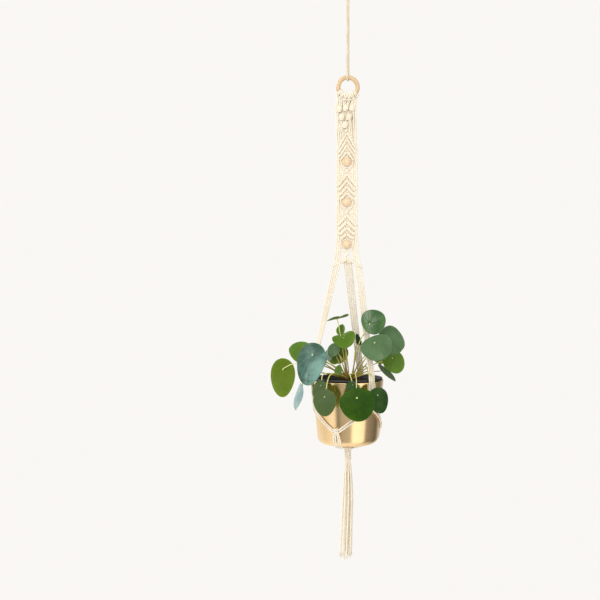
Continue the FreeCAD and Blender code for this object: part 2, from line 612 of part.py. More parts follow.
# Every leaf: blade centre, length, width, which way its face and its tip point, and the stalk's knees.
LEAVES = {
    "left": [
        ((-76, -46, -852), 90, 60, (-0.25, -1.0, 0.35), (-0.10, 0, -1), [(-28, -22, -858)]),
        ((-134, -30, -882), 80, 52, (0.20, 0.95, -0.10), (0.02, 0, -1),
         [(-40, -20, -858), (-108, -38, -849)]),
        ((-99, 12, -832), 58, 46, (-0.30, -0.9, 0.30), (-0.9, 0, 0.4), [(-38, 8, -862)]),
        ((-102, -40, -920), 56, 30, (-0.85, -0.5, 0.25), (0.05, 0, -1),
         [(-52, -31, -870), (-92, -44, -870)]),
        ((-58, -70, -901), 38, 32, (-0.45, -0.85, 0.4), (-0.3, 0, -1),
         [(-30, -36, -872), (-54, -66, -870)]),
    ],
    "front": [
        ((-46, -94, -925), 54, 46, (-0.12, -1.0, 0.12), (0.05, 0, -1),
         [(-18, -42, -874), (-38, -86, -866)]),
        ((20, -104, -928), 66, 70, (0.04, -1.0, 0.16), (0.15, 0, -1),
         [(8, -48, -874), (17, -90, -864)]),
        ((62, -84, -922), 52, 42, (0.30, -0.95, 0.12), (0.2, 0, -1),
         [(28, -52, -874), (50, -86, -866)]),
        ((8, -88, -895), 24, 25, (-0.1, -0.9, 0.3), (-0.3, 0, -1), [(2, -42, -874), (4, -81, -868)]),
    ],
    "top": [
        ((-21, -37, -758), 38, 48, (-0.28, 0.14, 1.0), (0.2, -1, 0), [(-12, -14, -815)]),
        ((-13, -2, -785), 26, 20, (-0.45, -0.8, 0.4), (-0.2, 0, 1), [(-4, -2, -830)]),
        ((-7, -28, -806), 40, 48, (-0.1, -0.75, 0.65), (0.3, 0, -1), [(0, -14, -850)]),
        ((-38, -4, -833), 36, 24, (-0.8, -0.6, 0.2), (0, 0, -1), [(-16, -2, -858)]),
        ((-30, -18, -826), 30, 26, (-0.3, -0.9, 0.3), (-0.4, 0, -1), [(-10, -8, -855)]),
        ((-20, -26, -868), 24, 15, (-0.3, -0.9, 0.3), (0, 0, 1), [(-8, -16, -880)]),
    ],
    "right": [
        ((53, -50, -765), 50, 52, (-0.1, -1.0, 0.18), (0.8, 0, 0.5),
         [(16, -22, -838), (26, -46, -800)]),
        ((59, -72, -817), 56, 66, (0.05, -0.9, 0.50), (0.4, 0, -1), [(51, -32, -840)]),
        ((90, -30, -806), 60, 64, (0.35, -0.9, 0.35), (0.8, 0, -0.5), [(38, -4, -840)]),
        ((98, -4, -853), 48, 46, (0.25, -0.95, 0.15), (0.5, 0, -1), [(40, 2, -862)]),
        ((81, -22, -873), 50, 34, (0.55, -0.25, 0.62), (0.62, -0.1, -0.75), [(36, -12, -869)]),
        ((22, 12, -806), 26, 18, (0.7, -0.6, 0.3), (0.1, 0, 1), [(14, 6, -845)]),
    ],
    "rear": [
        ((-34, 94, -934), 60, 56, (-0.2, 1.0, 0.2), (0, 0, -1), [(-14, 44, -872), (-28, 84, -866)]),
        ((48, 92, -926), 62, 56, (0.1, 1.0, 0.25), (0.1, 0, -1), [(26, 40, -872), (44, 80, -864)]),
        ((-72, 54, -862), 60, 54, (-0.6, 0.75, 0.5), (-0.4, 0.3, -1), [(-28, 22, -860)]),
        ((66, 56, -836), 60, 56, (0.45, 0.8, 0.5), (0.3, 0.3, -1), [(24, 22, -850)]),
        ((-24, 66, -842), 54, 50, (-0.1, 0.8, 0.6), (0, 0.5, -1), [(-6, 26, -854)]),
    ],
}
OUTLINE_POINTS = 10
ATTACH_SHARE = 0.22
CROWN_SPREAD = 7


def leaf_axes(face, tip):
    """Unit vectors across the blade, along it to the tip, and out of its upper face."""
    up = Vector(*face).normalize()
    along = Vector(*tip)
    along = (along - up * along.dot(up)).normalize()
    return along.cross(up), along, up


def blade(centre, length, width, face, tip):
    """A flat blade, nearly round, drawn out a little towards its tip."""
    across, along, up = leaf_axes(face, tip)
    points = []
    for k in range(OUTLINE_POINTS):
        turn = 2 * math.pi * k / OUTLINE_POINTS
        taper = 1 - 0.16 * math.cos(turn)
        points.append(Vector(*centre) + across * (width / 2 * math.sin(turn) * taper)
                      + along * (length / 2 * math.cos(turn)) - up * (size("blade_thickness") / 2))
    curve = Part.BSplineCurve()
    curve.interpolate(points, True)
    return Part.Face(Part.Wire(curve.toShape())).extrude(up * size("blade_thickness"))


def stalk(centre, length, face, tip, knees):
    """A stalk from the crown to the underside of its blade."""
    _, along, up = leaf_axes(face, tip)
    end = Vector(*centre) - along * (length * ATTACH_SHARE) - up * (size("blade_thickness") / 2 + 0.3)
    heading = Vector(knees[0][0], knees[0][1], 0) - Vector(CROWN.x, CROWN.y, 0)
    start = CROWN + heading.normalize() * CROWN_SPREAD + Vector(0, 0, 4)
    return tube([tuple(start)] + knees + [tuple(end)], size("petiole_diameter"))


blades, stalks = [], []
for group, leaves in LEAVES.items():
    made = [blade(centre, length, width, face, tip) for centre, length, width, face, tip, _ in leaves]
    solids(f"leaf_blades_{group}", made)
    blades += made
    stalks += [stalk(centre, length, face, tip, knees)
               for centre, length, _, face, tip, knees in leaves]
for number, shape in enumerate(stalks):
    near = [leaf for leaf in blades if leaf.BoundBox.intersect(shape.BoundBox)]
    stalks[number] = trimmed(shape, stem.Shape, *near)
solids("leaf_stalks", [stalks[0].multiFuse(stalks[1:])])

# ---- Checks and export ---------------------------------------------------------------------------

doc.recompute()
for item in doc.Objects:
    if {"Invalid", "Error"} & set(item.State):
        raise RuntimeError(f"{item.Label} failed: {item.State}")
os.makedirs("parts", exist_ok=True)
for item in subparts:
    if item.Shape.isNull() or not item.Shape.isValid():
        raise RuntimeError(f"{item.Label} has no valid shape")
    item.Shape.exportStep(f"parts/{item.Label}.step")
print("pieces:", len(subparts))
print("bend radii, mm:", " ".join(f"{radius:.0f}" for radius in sorted(bend_radii)))
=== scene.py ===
"""The looks of a hanging macrame planter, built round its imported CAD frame.

Every object is in metres in the frame's own axes: +Z up, the front towards -Y, the origin at the
ceiling. Places and sizes in the lists below are in millimetres, and mm() turns them into metres.
"""
import math
import random

import bpy
import numpy as np
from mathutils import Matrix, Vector, noise

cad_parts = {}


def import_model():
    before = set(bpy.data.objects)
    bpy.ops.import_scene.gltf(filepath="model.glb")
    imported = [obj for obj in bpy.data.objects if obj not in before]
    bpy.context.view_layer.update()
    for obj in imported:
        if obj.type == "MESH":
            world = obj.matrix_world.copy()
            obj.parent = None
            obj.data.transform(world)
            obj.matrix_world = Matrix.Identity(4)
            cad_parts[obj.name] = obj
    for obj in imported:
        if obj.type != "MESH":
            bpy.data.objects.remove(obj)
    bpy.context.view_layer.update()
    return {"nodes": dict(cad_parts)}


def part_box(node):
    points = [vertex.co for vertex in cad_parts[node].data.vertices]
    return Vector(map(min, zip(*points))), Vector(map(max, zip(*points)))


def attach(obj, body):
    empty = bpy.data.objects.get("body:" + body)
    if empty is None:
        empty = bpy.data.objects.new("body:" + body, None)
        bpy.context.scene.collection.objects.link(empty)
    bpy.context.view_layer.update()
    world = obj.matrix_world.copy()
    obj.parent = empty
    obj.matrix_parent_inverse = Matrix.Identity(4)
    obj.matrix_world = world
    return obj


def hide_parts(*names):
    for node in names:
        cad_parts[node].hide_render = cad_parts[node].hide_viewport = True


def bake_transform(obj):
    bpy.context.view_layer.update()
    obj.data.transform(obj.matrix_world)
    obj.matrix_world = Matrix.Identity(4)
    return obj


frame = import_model()
MM = 0.001


def mm(*place):
    """A place in millimetres as a vector in metres."""
    return Vector(place) * MM


def polar(radius, turn, z):
    """A place in millimetres from its radius, its turn about Z in degrees and its height."""
    angle = math.radians(turn)
    return (radius * math.cos(angle), radius * math.sin(angle), z)


def directions(count):
    """Angles evenly round a circle."""
    return np.linspace(0, 2 * math.pi, count, endpoint=False)


# ---- Lines ----


def smooth_line(route):
    """Points read from the order 3 NURBS spline whose control points are route, in millimetres."""
    curve = bpy.data.curves.new("route", "CURVE")
    curve.dimensions = "3D"
    curve.resolution_u = 24
    spline = curve.splines.new("NURBS")
    spline.points.add(len(route) - 1)
    for point, place in zip(spline.points, route):
        point.co = (*mm(*place), 1)
    spline.order_u = min(3, len(route))
    spline.use_endpoint_u = True
    holder = bpy.data.objects.new("route", curve)
    mesh = bpy.data.meshes.new_from_object(holder)
    line = np.array([vertex.co for vertex in mesh.vertices])
    bpy.data.objects.remove(holder)
    bpy.data.curves.remove(curve)
    bpy.data.meshes.remove(mesh)
    return line


def travel(line):
    """How far along the line each of its points is."""
    return np.concatenate([[0], np.cumsum(np.linalg.norm(np.diff(line, axis=0), axis=1))])


def evenly(line, step):
    """The line's own course, with points about a step apart."""
    line = np.asarray(line, float)
    travelled = travel(line)
    wanted = np.linspace(0, travelled[-1], max(2, int(travelled[-1] / step) + 1))
    return np.stack([np.interp(wanted, travelled, line[:, axis]) for axis in range(3)], axis=1)


def frames_along(line):
    """Unit normals and binormals along a line, with no turning about it."""
    tangents = np.gradient(line, axis=0)
    tangents /= np.linalg.norm(tangents, axis=1)[:, None]
    least = np.eye(3)[np.argmin(np.abs(tangents[0]))]
    normals = [np.cross(tangents[0], least)]
    for tangent in tangents[1:]:
        normals.append(normals[-1] - tangent * (normals[-1] @ tangent))
    normals = np.array(normals)
    normals /= np.linalg.norm(normals, axis=1)[:, None]
    return normals, np.cross(tangents, normals)


# A cord's plies, the depth of the grooves between them as a share of its radius, and, in diameters,
# how far its plies take to turn once and how far apart its rings are.
PLIES, GROOVE, LAY, STEP = 3, 0.075, 3.3, 0.27


def cord_rings(line, diameter, sides=12, phase=0.0, groove=GROOVE, taper=None):
    """Rings of a cord of three plies that turn about each other, one ring at each point of line."""
    normals, binormals = frames_along(line)
    section = 2 * np.pi * np.arange(sides) / sides
    radius = diameter / 2 * (1 - groove + groove * np.abs(np.cos(PLIES / 2 * section)))
    angle = (phase + 2 * np.pi * travel(line) / (LAY * diameter))[:, None] + section
    width = np.ones(len(line)) if taper is None else np.interp(
        np.linspace(0, 1, len(line)), np.linspace(0, 1, len(taper)), taper)
    around = np.cos(angle)[..., None] * normals[:, None] + np.sin(angle)[..., None] * binormals[:, None]
    return line[:, None] + (radius * width[:, None])[..., None] * around


def winding(turns, per_turn, phase=0.0):
    """Each step of a winding as the share of it that is done and its angle."""
    steps = int(turns * per_turn)
    return [(k / steps, phase + 2 * math.pi * turns * (k / steps)) for k in range(steps + 1)]


COIL_STEPS, KNOT_STEPS = 14, 16


def coil(start, end, turns, across, depth, lean=0.0):
    """A helix round the line from start to end. across and depth are its two radii, depth along Y."""
    start, end = Vector(start), Vector(end)
    run = end - start
    sideways = run.cross(Vector((0, 1, 0))).normalized()
    backward = sideways.cross(run).normalized()
    points = []
    for share, angle in winding(turns, COIL_STEPS):
        points.append(start + run * share + run.normalized() * (lean * math.cos(angle))
                      + sideways * (across * math.cos(angle)) + backward * (depth * math.sin(angle)))
    return np.array(points)


def ball_line(centre, width, depth, height, turns, lean, phase=0.0):
    """A cord wound round an ellipsoid from its top to its foot."""
    points = []
    for share, angle in winding(turns, KNOT_STEPS, phase):
        fall = math.pi * (0.03 + 0.94 * share)
        level = 1 - 2 * (0.04 + 0.92 * share)
        reach = math.sin(fall) ** 0.45
        points.append(mm(centre[0] + width * reach * math.cos(angle),
                         centre[1] + depth * reach * math.sin(angle),
                         centre[2] + height * level + lean * reach * math.cos(angle)))
    return np.array(points)


# ---- Meshes ----


def add_object(name, data):
    """A new object in the scene."""
    obj = bpy.data.objects.new(name, data)
    bpy.context.scene.collection.objects.link(obj)
    return obj


class Shape:
    """Vertices, faces and UVs gathered for one piece."""

    def __init__(self):
        self.vertices, self.faces, self.uvs, self.kinds = [], [], [], []

    def add_face(self, corners, uvs, kind=0):
        self.faces.append(corners)
        self.uvs += uvs
        self.kinds.append(kind)

    def add_quad(self, corners, across, along, kind=0):
        """A face whose map is a rectangle that spans across in U and along in V."""
        (left, right), (low, high) = across, along
        self.add_face(corners, [(left, low), (right, low), (right, high), (left, high)], kind)

    def tube(self, rings, along=None):
        """Joins rings of points. U runs round a ring and V along the tube, in metres unless given."""
        first, (count, sides, _) = len(self.vertices), rings.shape
        middles = rings.mean(axis=1)
        if along is None:
            along = travel(middles)
        self.vertices += rings.reshape(-1, 3).tolist()
        for i in range(count - 1):
            for k in range(sides):
                after = (k + 1) % sides
                low, high = first + i * sides, first + (i + 1) * sides
                self.add_quad((low + k, low + after, high + after, high + k),
                              (k / sides, (k + 1) / sides), (along[i], along[i + 1]))
        for i, order in ((0, -1), (count - 1, 1)):
            centre = len(self.vertices)
            self.vertices.append(middles[i].tolist())
            for k in range(sides):
                pair = [first + i * sides + k, first + i * sides + (k + 1) % sides][::order]
                self.add_face((*pair, centre), [(k / sides, along[i])] * 3)
        return self

    def cord(self, line, diameter, **details):
        """A twisted cord along a line in metres. Its diameter is in millimetres."""
        diameter *= MM
        return self.tube(cord_rings(evenly(line, STEP * diameter), diameter, **details))

    def strand(self, route, diameter, **details):
        """A twisted cord along the spline whose control points are route, in millimetres."""
        return self.cord(smooth_line(route), diameter, **details)

    def lathe(self, profile, segments=96, middle=(0, 0)):
        """Turns a closed profile of (radius, height) in millimetres about a vertical axis."""
        turns = 2 * np.pi * np.arange(segments) / segments
        first, count = len(self.vertices), len(profile)
        for radius, height in profile:
            for turn in turns:
                self.vertices.append(tuple(mm(middle[0] + radius * math.cos(turn),
                                              middle[1] + radius * math.sin(turn), height)))
        for i in range(count):
            for k in range(segments):
                after, below = (k + 1) % segments, (i + 1) % count
                corners = (first + i * segments + k, first + i * segments + after,
                           first + below * segments + after, first + below * segments + k)
                self.add_quad(corners, (k / segments, (k + 1) / segments), (i / count, (i + 1) / count))
        return self

    def piece(self, name, body, slot, materials, replaces=()):
        """Makes the piece, rides it on a body unless that is None, and hides what it stands for."""
        mesh = bpy.data.meshes.new(name)
        mesh.from_pydata(self.vertices, [], self.faces)
        layer = mesh.uv_layers.new(name="lay")
        layer.data.foreach_set("uv", np.array(self.uvs, np.float32).ravel())
        for material in materials if isinstance(materials, (list, tuple)) else [materials]:
            mesh.materials.append(material)
        mesh.polygons.foreach_set("material_index", self.kinds)
        mesh.polygons.foreach_set("use_smooth", [True] * len(mesh.polygons))
        mesh.validate()
        obj = add_object(name, mesh)
        if body:
            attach(obj, body)
        if replaces:
            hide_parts(*replaces)
        return obj

    def cotton_piece(self, name, body, *nodes):
        """Makes a piece of the pale cotton cord that stands for CAD nodes."""
        return self.piece(name, body, "cotton_cord", COTTON, nodes)


# ---- Materials ----


class Nodes:
    """The node tree of a material or the world, with short ways to add and join nodes."""

    def __init__(self, owner):
        self.owner = owner
        owner.use_nodes = True
        self.tree = owner.node_tree

    def add(self, kind, inputs=(), **properties):
        """A node with properties set. inputs are (name or number, value or output)."""
        node = self.tree.nodes.new("ShaderNode" + kind)
        for name, value in properties.items():
            setattr(node, name, value)
        for name, value in inputs:
            self.set(node.inputs[name], value)
        return node

    def set(self, socket, value):
        if isinstance(value, bpy.types.NodeSocket):
            self.tree.links.new(value, socket)
        else:
            socket.default_value = value

    def finish(self, **inputs):
        """Sets a material's shader inputs, with _ for a space in a name, and returns the material."""
        shader = self.tree.nodes["Principled BSDF"]
        for name, value in inputs.items():
            self.set(shader.inputs[name.replace("_", " ")], value)
        return self.owner

    def parts(self, vector):
        """The three parts of a vector."""
        return self.add("SeparateXYZ", [(0, vector)]).outputs

    def lay(self):
        """U and V of the mesh's own map."""
        return self.parts(self.add("UVMap", uv_map="lay").outputs[0])[:2]

    def place(self):
        """Where the surface is, in the object's own axes."""
        return self.add("TexCoord").outputs["Object"]

    def coordinates(self, scale, place=None):
        """A place, or where the surface is if none is given, stretched by scale."""
        if place is None:
            place = self.place()
        return self.add("Mapping", [("Vector", place), ("Scale", scale)]).outputs[0]

    def noise(self, scale, stretch=(1, 1, 1), detail=3.0, roughness=0.55):
        return self.add("TexNoise", [("Vector", self.coordinates(stretch)), ("Scale", scale),
                                     ("Detail", detail), ("Roughness", roughness)]).outputs["Fac"]

    def ramp(self, factor, stops):
        """A colour ramp of (place, colour or grey)."""
        node = self.add("ValToRGB", [("Fac", factor)])
        elements = node.color_ramp.elements
        while len(elements) < len(stops):
            elements.new(0.5)
        for element, (place, colour) in zip(elements, stops):
            element.position = place
            grey = isinstance(colour, (int, float))
            element.color = (colour, colour, colour, 1) if grey else (*colour, 1)
        return node.outputs["Color"]

    def mix(self, factor, first, second, blend="MIX"):
        node = self.add("Mix", data_type="RGBA", blend_type=blend)
        for socket, value in ((node.inputs[0], factor), (node.inputs[6], first), (node.inputs[7], second)):
            if isinstance(value, tuple) and len(value) == 3:
                value = (*value, 1)
            self.set(socket, value)
        return node.outputs[2]

    def math(self, operation, first, second=0.0):
        return self.add("Math", [(0, first), (1, second)], operation=operation).outputs[0]

    def plus(self, first, second):
        return self.math("ADD", first, second)

    def times(self, first, second):
        return self.math("MULTIPLY", first, second)

    def bump(self, height, strength, distance):
        return self.add("Bump", [("Height", height), ("Strength", strength),
                                 ("Distance", distance)]).outputs[0]


def new_material(name):
    """The nodes of a new material."""
    return Nodes(bpy.data.materials.new(name))


def cotton(name, light, shade, painted_groove_shade):
    """Twisted cotton cord: tone that drifts along it, painted shade in the grooves between the plies, fine
    fibres.
    """
    m = new_material(name)
    drift = m.ramp(m.noise(28, detail=2), [(0.35, shade), (0.65, light)])
    turn, _ = m.lay()
    # Painted shade: the grooves between the plies are painted darker, as the shade that falls in them.
    crest = m.math("ABSOLUTE", m.math("COSINE", m.times(turn, PLIES * math.pi)))
    groove = m.ramp(crest, [(0.0, painted_groove_shade), (0.55, 1.0)])
    fibre = m.noise(2600, (1, 1, 0.22), detail=2)
    flecks = m.ramp(fibre, [(0.3, 0.97), (0.7, 1.0)])
    colour = m.mix(1.0, m.mix(1.0, drift, groove, "MULTIPLY"), flecks, "MULTIPLY")
    return m.finish(Base_Color=colour, Roughness=0.92, Sheen_Weight=0.2, Sheen_Roughness=0.5,
                    Specular_IOR_Level=0.15)


def wood(name, light, dark, across, along, ring_like=False):
    """Light turned wood: streaks of grain, pores and a waxed surface."""
    m = new_material(name)
    if ring_like:
        low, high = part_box("wood_ring")
        x, y, z = m.parts(m.place())
        level = m.plus(z, -low.lerp(high, 0.5).z)
        turn = m.math("ARCTAN2", x, level)
        reach = m.math("SQRT", m.plus(m.times(x, x), m.times(level, level)))
        vector = m.add("CombineXYZ", [(0, m.times(turn, 0.02)), (1, y), (2, reach)])
        mapped = m.coordinates((along, across, across), vector.outputs[0])
    else:
        mapped = m.coordinates((across, across, along))
    grain = m.add("TexNoise", [("Vector", mapped), ("Scale", 1.0), ("Detail", 5.0),
                               ("Roughness", 0.62), ("Distortion", 0.4)]).outputs["Fac"]
    tone = m.ramp(grain, [(0.32, dark), (0.5, light), (0.72, tuple(min(1, c * 1.06) for c in light))])
    pores = m.add("TexNoise", [("Vector", mapped), ("Scale", 5.0), ("Detail", 2.0)]).outputs["Fac"]
    colour = m.mix(1.0, tone, m.ramp(pores, [(0.3, 0.82), (0.46, 1.0)]), "MULTIPLY")
    return m.finish(Base_Color=colour, Roughness=m.ramp(grain, [(0.3, 0.5), (0.7, 0.38)]),
                    Coat_Weight=0.15, Coat_Roughness=0.3, Normal=m.bump(grain, 0.15, 0.0003))


def brushed_brass():
    """Spun brass: fine lines round the pot, soft tarnish and a few fingermarks."""
    m = new_material("brushed_brass")
    lines = m.noise(1.0, (14, 14, 5200), detail=2)
    clouds = m.noise(16, (1, 1, 1.6), detail=4)
    tone = m.ramp(clouds, [(0.3, (0.84, 0.58, 0.29)), (0.55, (0.92, 0.67, 0.36)), (0.8, (0.95, 0.72, 0.42))])
    colour = m.mix(0.2, tone, m.ramp(lines, [(0.3, (0.76, 0.52, 0.26)), (0.7, (1.0, 0.78, 0.46))]))
    rough = m.plus(m.times(clouds, 0.10), m.times(lines, 0.06))
    tangent = m.add("Tangent", direction_type="RADIAL", axis="Z").outputs[0]
    return m.finish(Base_Color=colour, Metallic=1.0, Roughness=m.plus(rough, 0.09),
                    Anisotropic=0.7, Tangent=tangent, Normal=m.bump(lines, 0.05, 0.0001))


def metal(name, colour, roughness):
    """Plain plated metal with faint handling marks."""
    m = new_material(name)
    marks = m.noise(320, detail=4)
    tone = m.ramp(marks, [(0.3, tuple(c * 0.85 for c in colour)), (0.7, colour)])
    return m.finish(Base_Color=tone, Metallic=1.0, Normal=m.bump(marks, 0.06, 0.0002),
                    Roughness=m.plus(m.times(marks, 0.2), roughness - 0.1))


def black_plastic():
    m = new_material("black_plastic")
    grain = m.noise(900, detail=3)
    dust = m.ramp(m.noise(40), [(0.45, (0.012, 0.012, 0.012)), (0.8, (0.035, 0.032, 0.028))])
    return m.finish(Base_Color=dust, Roughness=0.5, Normal=m.bump(grain, 0.15, 0.0002))


def potting_mix():
    """Dark crumbs of bark, fibre and a little perlite."""
    m = new_material("potting_mix")
    crumbs = m.noise(420, detail=6, roughness=0.7)
    tone = m.ramp(crumbs, [(0.3, (0.006, 0.004, 0.003)), (0.52, (0.030, 0.019, 0.011)),
                           (0.7, (0.075, 0.048, 0.028)), (0.82, (0.16, 0.12, 0.08))])
    return m.finish(Base_Color=tone, Roughness=0.95, Normal=m.bump(crumbs, 0.8, 0.002))


def stalk_skin():
    """Leaf stalk: brown at the crown, olive, then pale yellow-green towards the blade."""
    m = new_material("stalk_skin")
    _, share = m.lay()
    blotch = m.noise(120, (1, 1, 0.3))
    tone = m.ramp(m.plus(share, m.times(m.math("SUBTRACT", blotch, 0.5), 0.35)),
                  [(0.0, (0.20, 0.13, 0.03)), (0.25, (0.42, 0.33, 0.07)), (0.6, (0.54, 0.52, 0.12)),
                   (0.95, (0.76, 0.79, 0.36))])
    return m.finish(Base_Color=tone, Roughness=0.42, Subsurface_Weight=0.15,
                    Subsurface_Radius=(0.002, 0.002, 0.0006), Subsurface_Scale=1.0,
                    Normal=m.bump(blotch, 0.2, 0.0004))


def leaf_skin(name, colour, pale, rough, coat, glow, sheen, mottle, shine=0.2, quilt=0.0, painted_reflection_side=None):
    """A leaf face: veins from the stalk's spot, a pale spot, mottling, a waxlike coat and, on some, a painted
    reflection on one side.

    U runs round the blade and V from the spot (0) to the edge (1). The last argument is the side, as a share
    of a turn, where a painted reflection makes the face paler."""
    m = new_material(name)
    turn, reach = m.lay()
    wander = m.times(m.math("SUBTRACT", m.noise(45, detail=2), 0.5), 0.06)
    wave = m.math("COSINE", m.times(m.plus(turn, wander), 2 * math.pi * LEAF_VEINS))
    vein = m.math("POWER", m.math("MAXIMUM", wave, 0.0), 60.0)
    fine = m.add("TexVoronoi", [("Vector", m.coordinates((1, 1, 1))), ("Scale", 330.0)],
                 feature="DISTANCE_TO_EDGE").outputs["Distance"]
    net = m.ramp(fine, [(0.0, 1.0), (0.12, 0.0)])
    patch = m.ramp(m.noise(34, detail=4, roughness=0.6), [(0.36, 0.0), (0.66, 1.0)])
    base = m.mix(m.times(patch, mottle), (*colour, 1), (*pale, 1))
    near = m.ramp(reach, [(0.0, 1.0), (0.9, 0.35)])
    base = m.mix(m.times(m.times(vein, near), 0.45), base, (*pale, 1))
    base = m.mix(m.times(net, 0.10), base, (*pale, 1))
    spot = m.ramp(reach, [(0.035, 1.0), (0.06, 0.0)])
    base = m.mix(spot, base, (0.62, 0.72, 0.34))
    # Painted reflection: the given side of the face is painted towards the pale colour, as a reflection would
    # make it look.
    if painted_reflection_side is not None:
        from_side = m.math("COSINE", m.times(m.math("SUBTRACT", turn, painted_reflection_side), 2 * math.pi))
        painted_reflection = m.plus(m.times(from_side, reach), m.times(patch, 0.5))
        base = m.mix(m.ramp(painted_reflection, [(0.4, 0.0), (1.2, 0.7)]), base, (*pale, 1))
    height = m.plus(m.times(vein, -0.8), m.times(net, -0.25))
    if quilt:
        height = m.plus(height, m.times(m.noise(75, detail=2), 5.0 * quilt))
    return m.finish(Base_Color=base, Roughness=rough, Coat_Weight=coat, Coat_Roughness=0.28,
                    Subsurface_Weight=glow, Subsurface_Radius=(0.003, 0.004, 0.0012),
                    Subsurface_Scale=1.0, Sheen_Weight=sheen, Sheen_Roughness=0.45,
                    Sheen_Tint=(0.75, 0.88, 0.95, 1), Specular_IOR_Level=shine,
                    Normal=m.bump(height, 0.35, 0.0006))


LEAF_VEINS = 9
# The last number of each cord is how dark the painted shade in its grooves is.
COTTON = cotton("cotton_cord", (0.94, 0.865, 0.72), (0.91, 0.81, 0.645), 0.93)
TWINE_COTTON = cotton("twine", (0.88, 0.79, 0.60), (0.78, 0.67, 0.47), 0.6)
RING_WOOD = wood("ring_wood", (0.70, 0.50, 0.29), (0.52, 0.33, 0.16), 420, 60, ring_like=True)
BEAD_WOOD = wood("bead_wood", (0.83, 0.64, 0.42), (0.70, 0.50, 0.29), 300, 60)
BRASS = brushed_brass()
STEEL = metal("plated_steel", (0.80, 0.79, 0.76), 0.3)
PLASTIC = black_plastic()
SOIL = potting_mix()
STALK = stalk_skin()

# ---- Driving sizes, as in the CAD source, in millimetres ----

CORD = 3.5
TWINE = 3.3
MIDDLE = -2
HITCH = 6.8
EDGE = 19.6
BERRY_HALF = (4.9, 4.6, 6.2)
RING_Z = -275
RIM_Z, RIM_R, BASE_R, POT_HEIGHT, POT_WALL, POT_CORNER = -889, 75, 62.5, 132, 1.2, 14
SLOPE = (RIM_R - BASE_R) / POT_HEIGHT
LIE = CORD / 2 + 0.4
SPLIT_Z, CRADLE_Z = -941, -987
WRAP_TOP, WRAP_BOTTOM = -1034, -1059.5

# ---- Hook, eye, knot and hanging cord ----


def paint(node, material):
    """Gives a material to a CAD node that shows as it is."""
    materials = frame["nodes"][node].data.materials
    materials.clear()
    materials.append(material)


def hook_and_hanging_cord():
    paint("screw_hook", STEEL)
    paint("ceiling_plate", STEEL)
    turns, turn_steps = 15, 16
    steps = turns * turn_steps
    line = np.array([mm(*polar(2.2, 360 * k / turn_steps, 3 + 20 * k / steps)) for k in range(steps + 1)])
    Shape().tube(cord_rings(line, 1.1 * MM, sides=4, groove=0)).piece(
        "screw_thread", "hook", "hook_metal", STEEL)

    eye = [(-1.8, 0, -72), (-4.45, 0, -57), (-4.45, 0, -46.55), (4.45, 0, -46.55), (4.45, 0, -57),
           (1.8, 0, -72)]
    Shape().strand(eye, TWINE).piece(
        "hook_eye", "eye", "hanging_twine", TWINE_COTTON, ["eye_loop"])
    knot = []
    for k in range(97):
        t = 2 * math.pi * k / 96
        swing = 2 + math.cos(3 * t)
        knot.append(mm(1.45 * swing * math.cos(2 * t), 2.6 * math.sin(3 * t),
                       -77 + 2.1 * swing * math.sin(2 * t)))
    Shape().cord(np.array(knot), TWINE).piece(
        "overhand_knot", "eye", "hanging_twine", TWINE_COTTON, ["top_knot"])

    route = [(-1.75, 0, -85.6), (-1.75, -5.9, -241.4), (-1.75, -6.65, -261.35),
             (1.75, 6.65, -261.35), (1.75, 5.9, -241.4), (1.75, 0, -85.6)]
    line = evenly(smooth_line(route), STEP * TWINE * MM)
    cord = Shape().tube(cord_rings(line, TWINE * MM)).piece(
        "hanging_twine_cord", "hanging_pair", "hanging_twine", TWINE_COTTON, ["hanging_cord"])


# ---- Ring, lark's heads and berry knots ----

RING_MIDDLE, RING_TUBE = 20.3, 9.4
HEAD_LEANS = [(step - 2.5) * 20 - 4 for step in range(6)]
BERRIES = {
    "upper": [(-18.6, -321.4), (-5.0, -319.4), (8.8, -319.6)],
    "middle": [(-13.4, -338.2), (2.2, -338.0)],
    "lower": [(-5.8, -354.8)],
}


def on_ring(lean, out, along=0.0, y=0.0):
    """A place out from the ring's centre at a lean from straight down, and along the ring."""
    turn = math.radians(lean)
    return (out * math.sin(turn) + along * math.cos(turn), y,
            RING_Z - out * math.cos(turn) + along * math.sin(turn))


def larks_heads():
    """Two wraps over the ring for each head, and the bar in front that locks them."""
    wrap = RING_TUBE / 2 + CORD / 2 - 0.1
    for number, lean in enumerate(HEAD_LEANS):
        shape = Shape()
        for side in (-1.72, 1.72):
            points = []
            for k in range(25):
                angle = math.radians(-62 + 304 * k / 24)
                points.append(mm(*on_ring(lean, RING_MIDDLE - wrap * math.sin(angle), side,
                                          -wrap * math.cos(angle))))
            shape.cord(np.array(points), 3.5, phase=side, groove=0.05)
        bar = [on_ring(lean, 28.6, -3.0, -0.6), on_ring(lean, 27.9, -3.4, -4.2),
               on_ring(lean, 28.2, 0, -6.2), on_ring(lean, 27.9, 3.4, -4.2), on_ring(lean, 28.6, 3.0, -0.6)]
        shape.strand(bar, 3.3)
        shape.cotton_piece(f"larks_head_{number + 1}", "hanger", "larks_head_knots")


def berry(shape, x, z, size=1.0, phase=0.0):
    """A rolled square-knot braid: strands that cross in front and close up at top and foot."""
    width, depth, height = (half * size for half in BERRY_HALF)
    shape.cord(ball_line((x, 0, z), width, depth, height, 5.2, 1.0, phase), 3.7, groove=0.03)
    core = [(width * math.sin(math.pi * k / 10), height * math.cos(math.pi * k / 10)) for k in range(11)]
    rings = [[tuple(mm(x + r * 1.06 * math.cos(a), r * 0.92 * math.sin(a), z + rise))
              for a in directions(20)] for r, rise in core]
    shape.tube(np.array(rings))


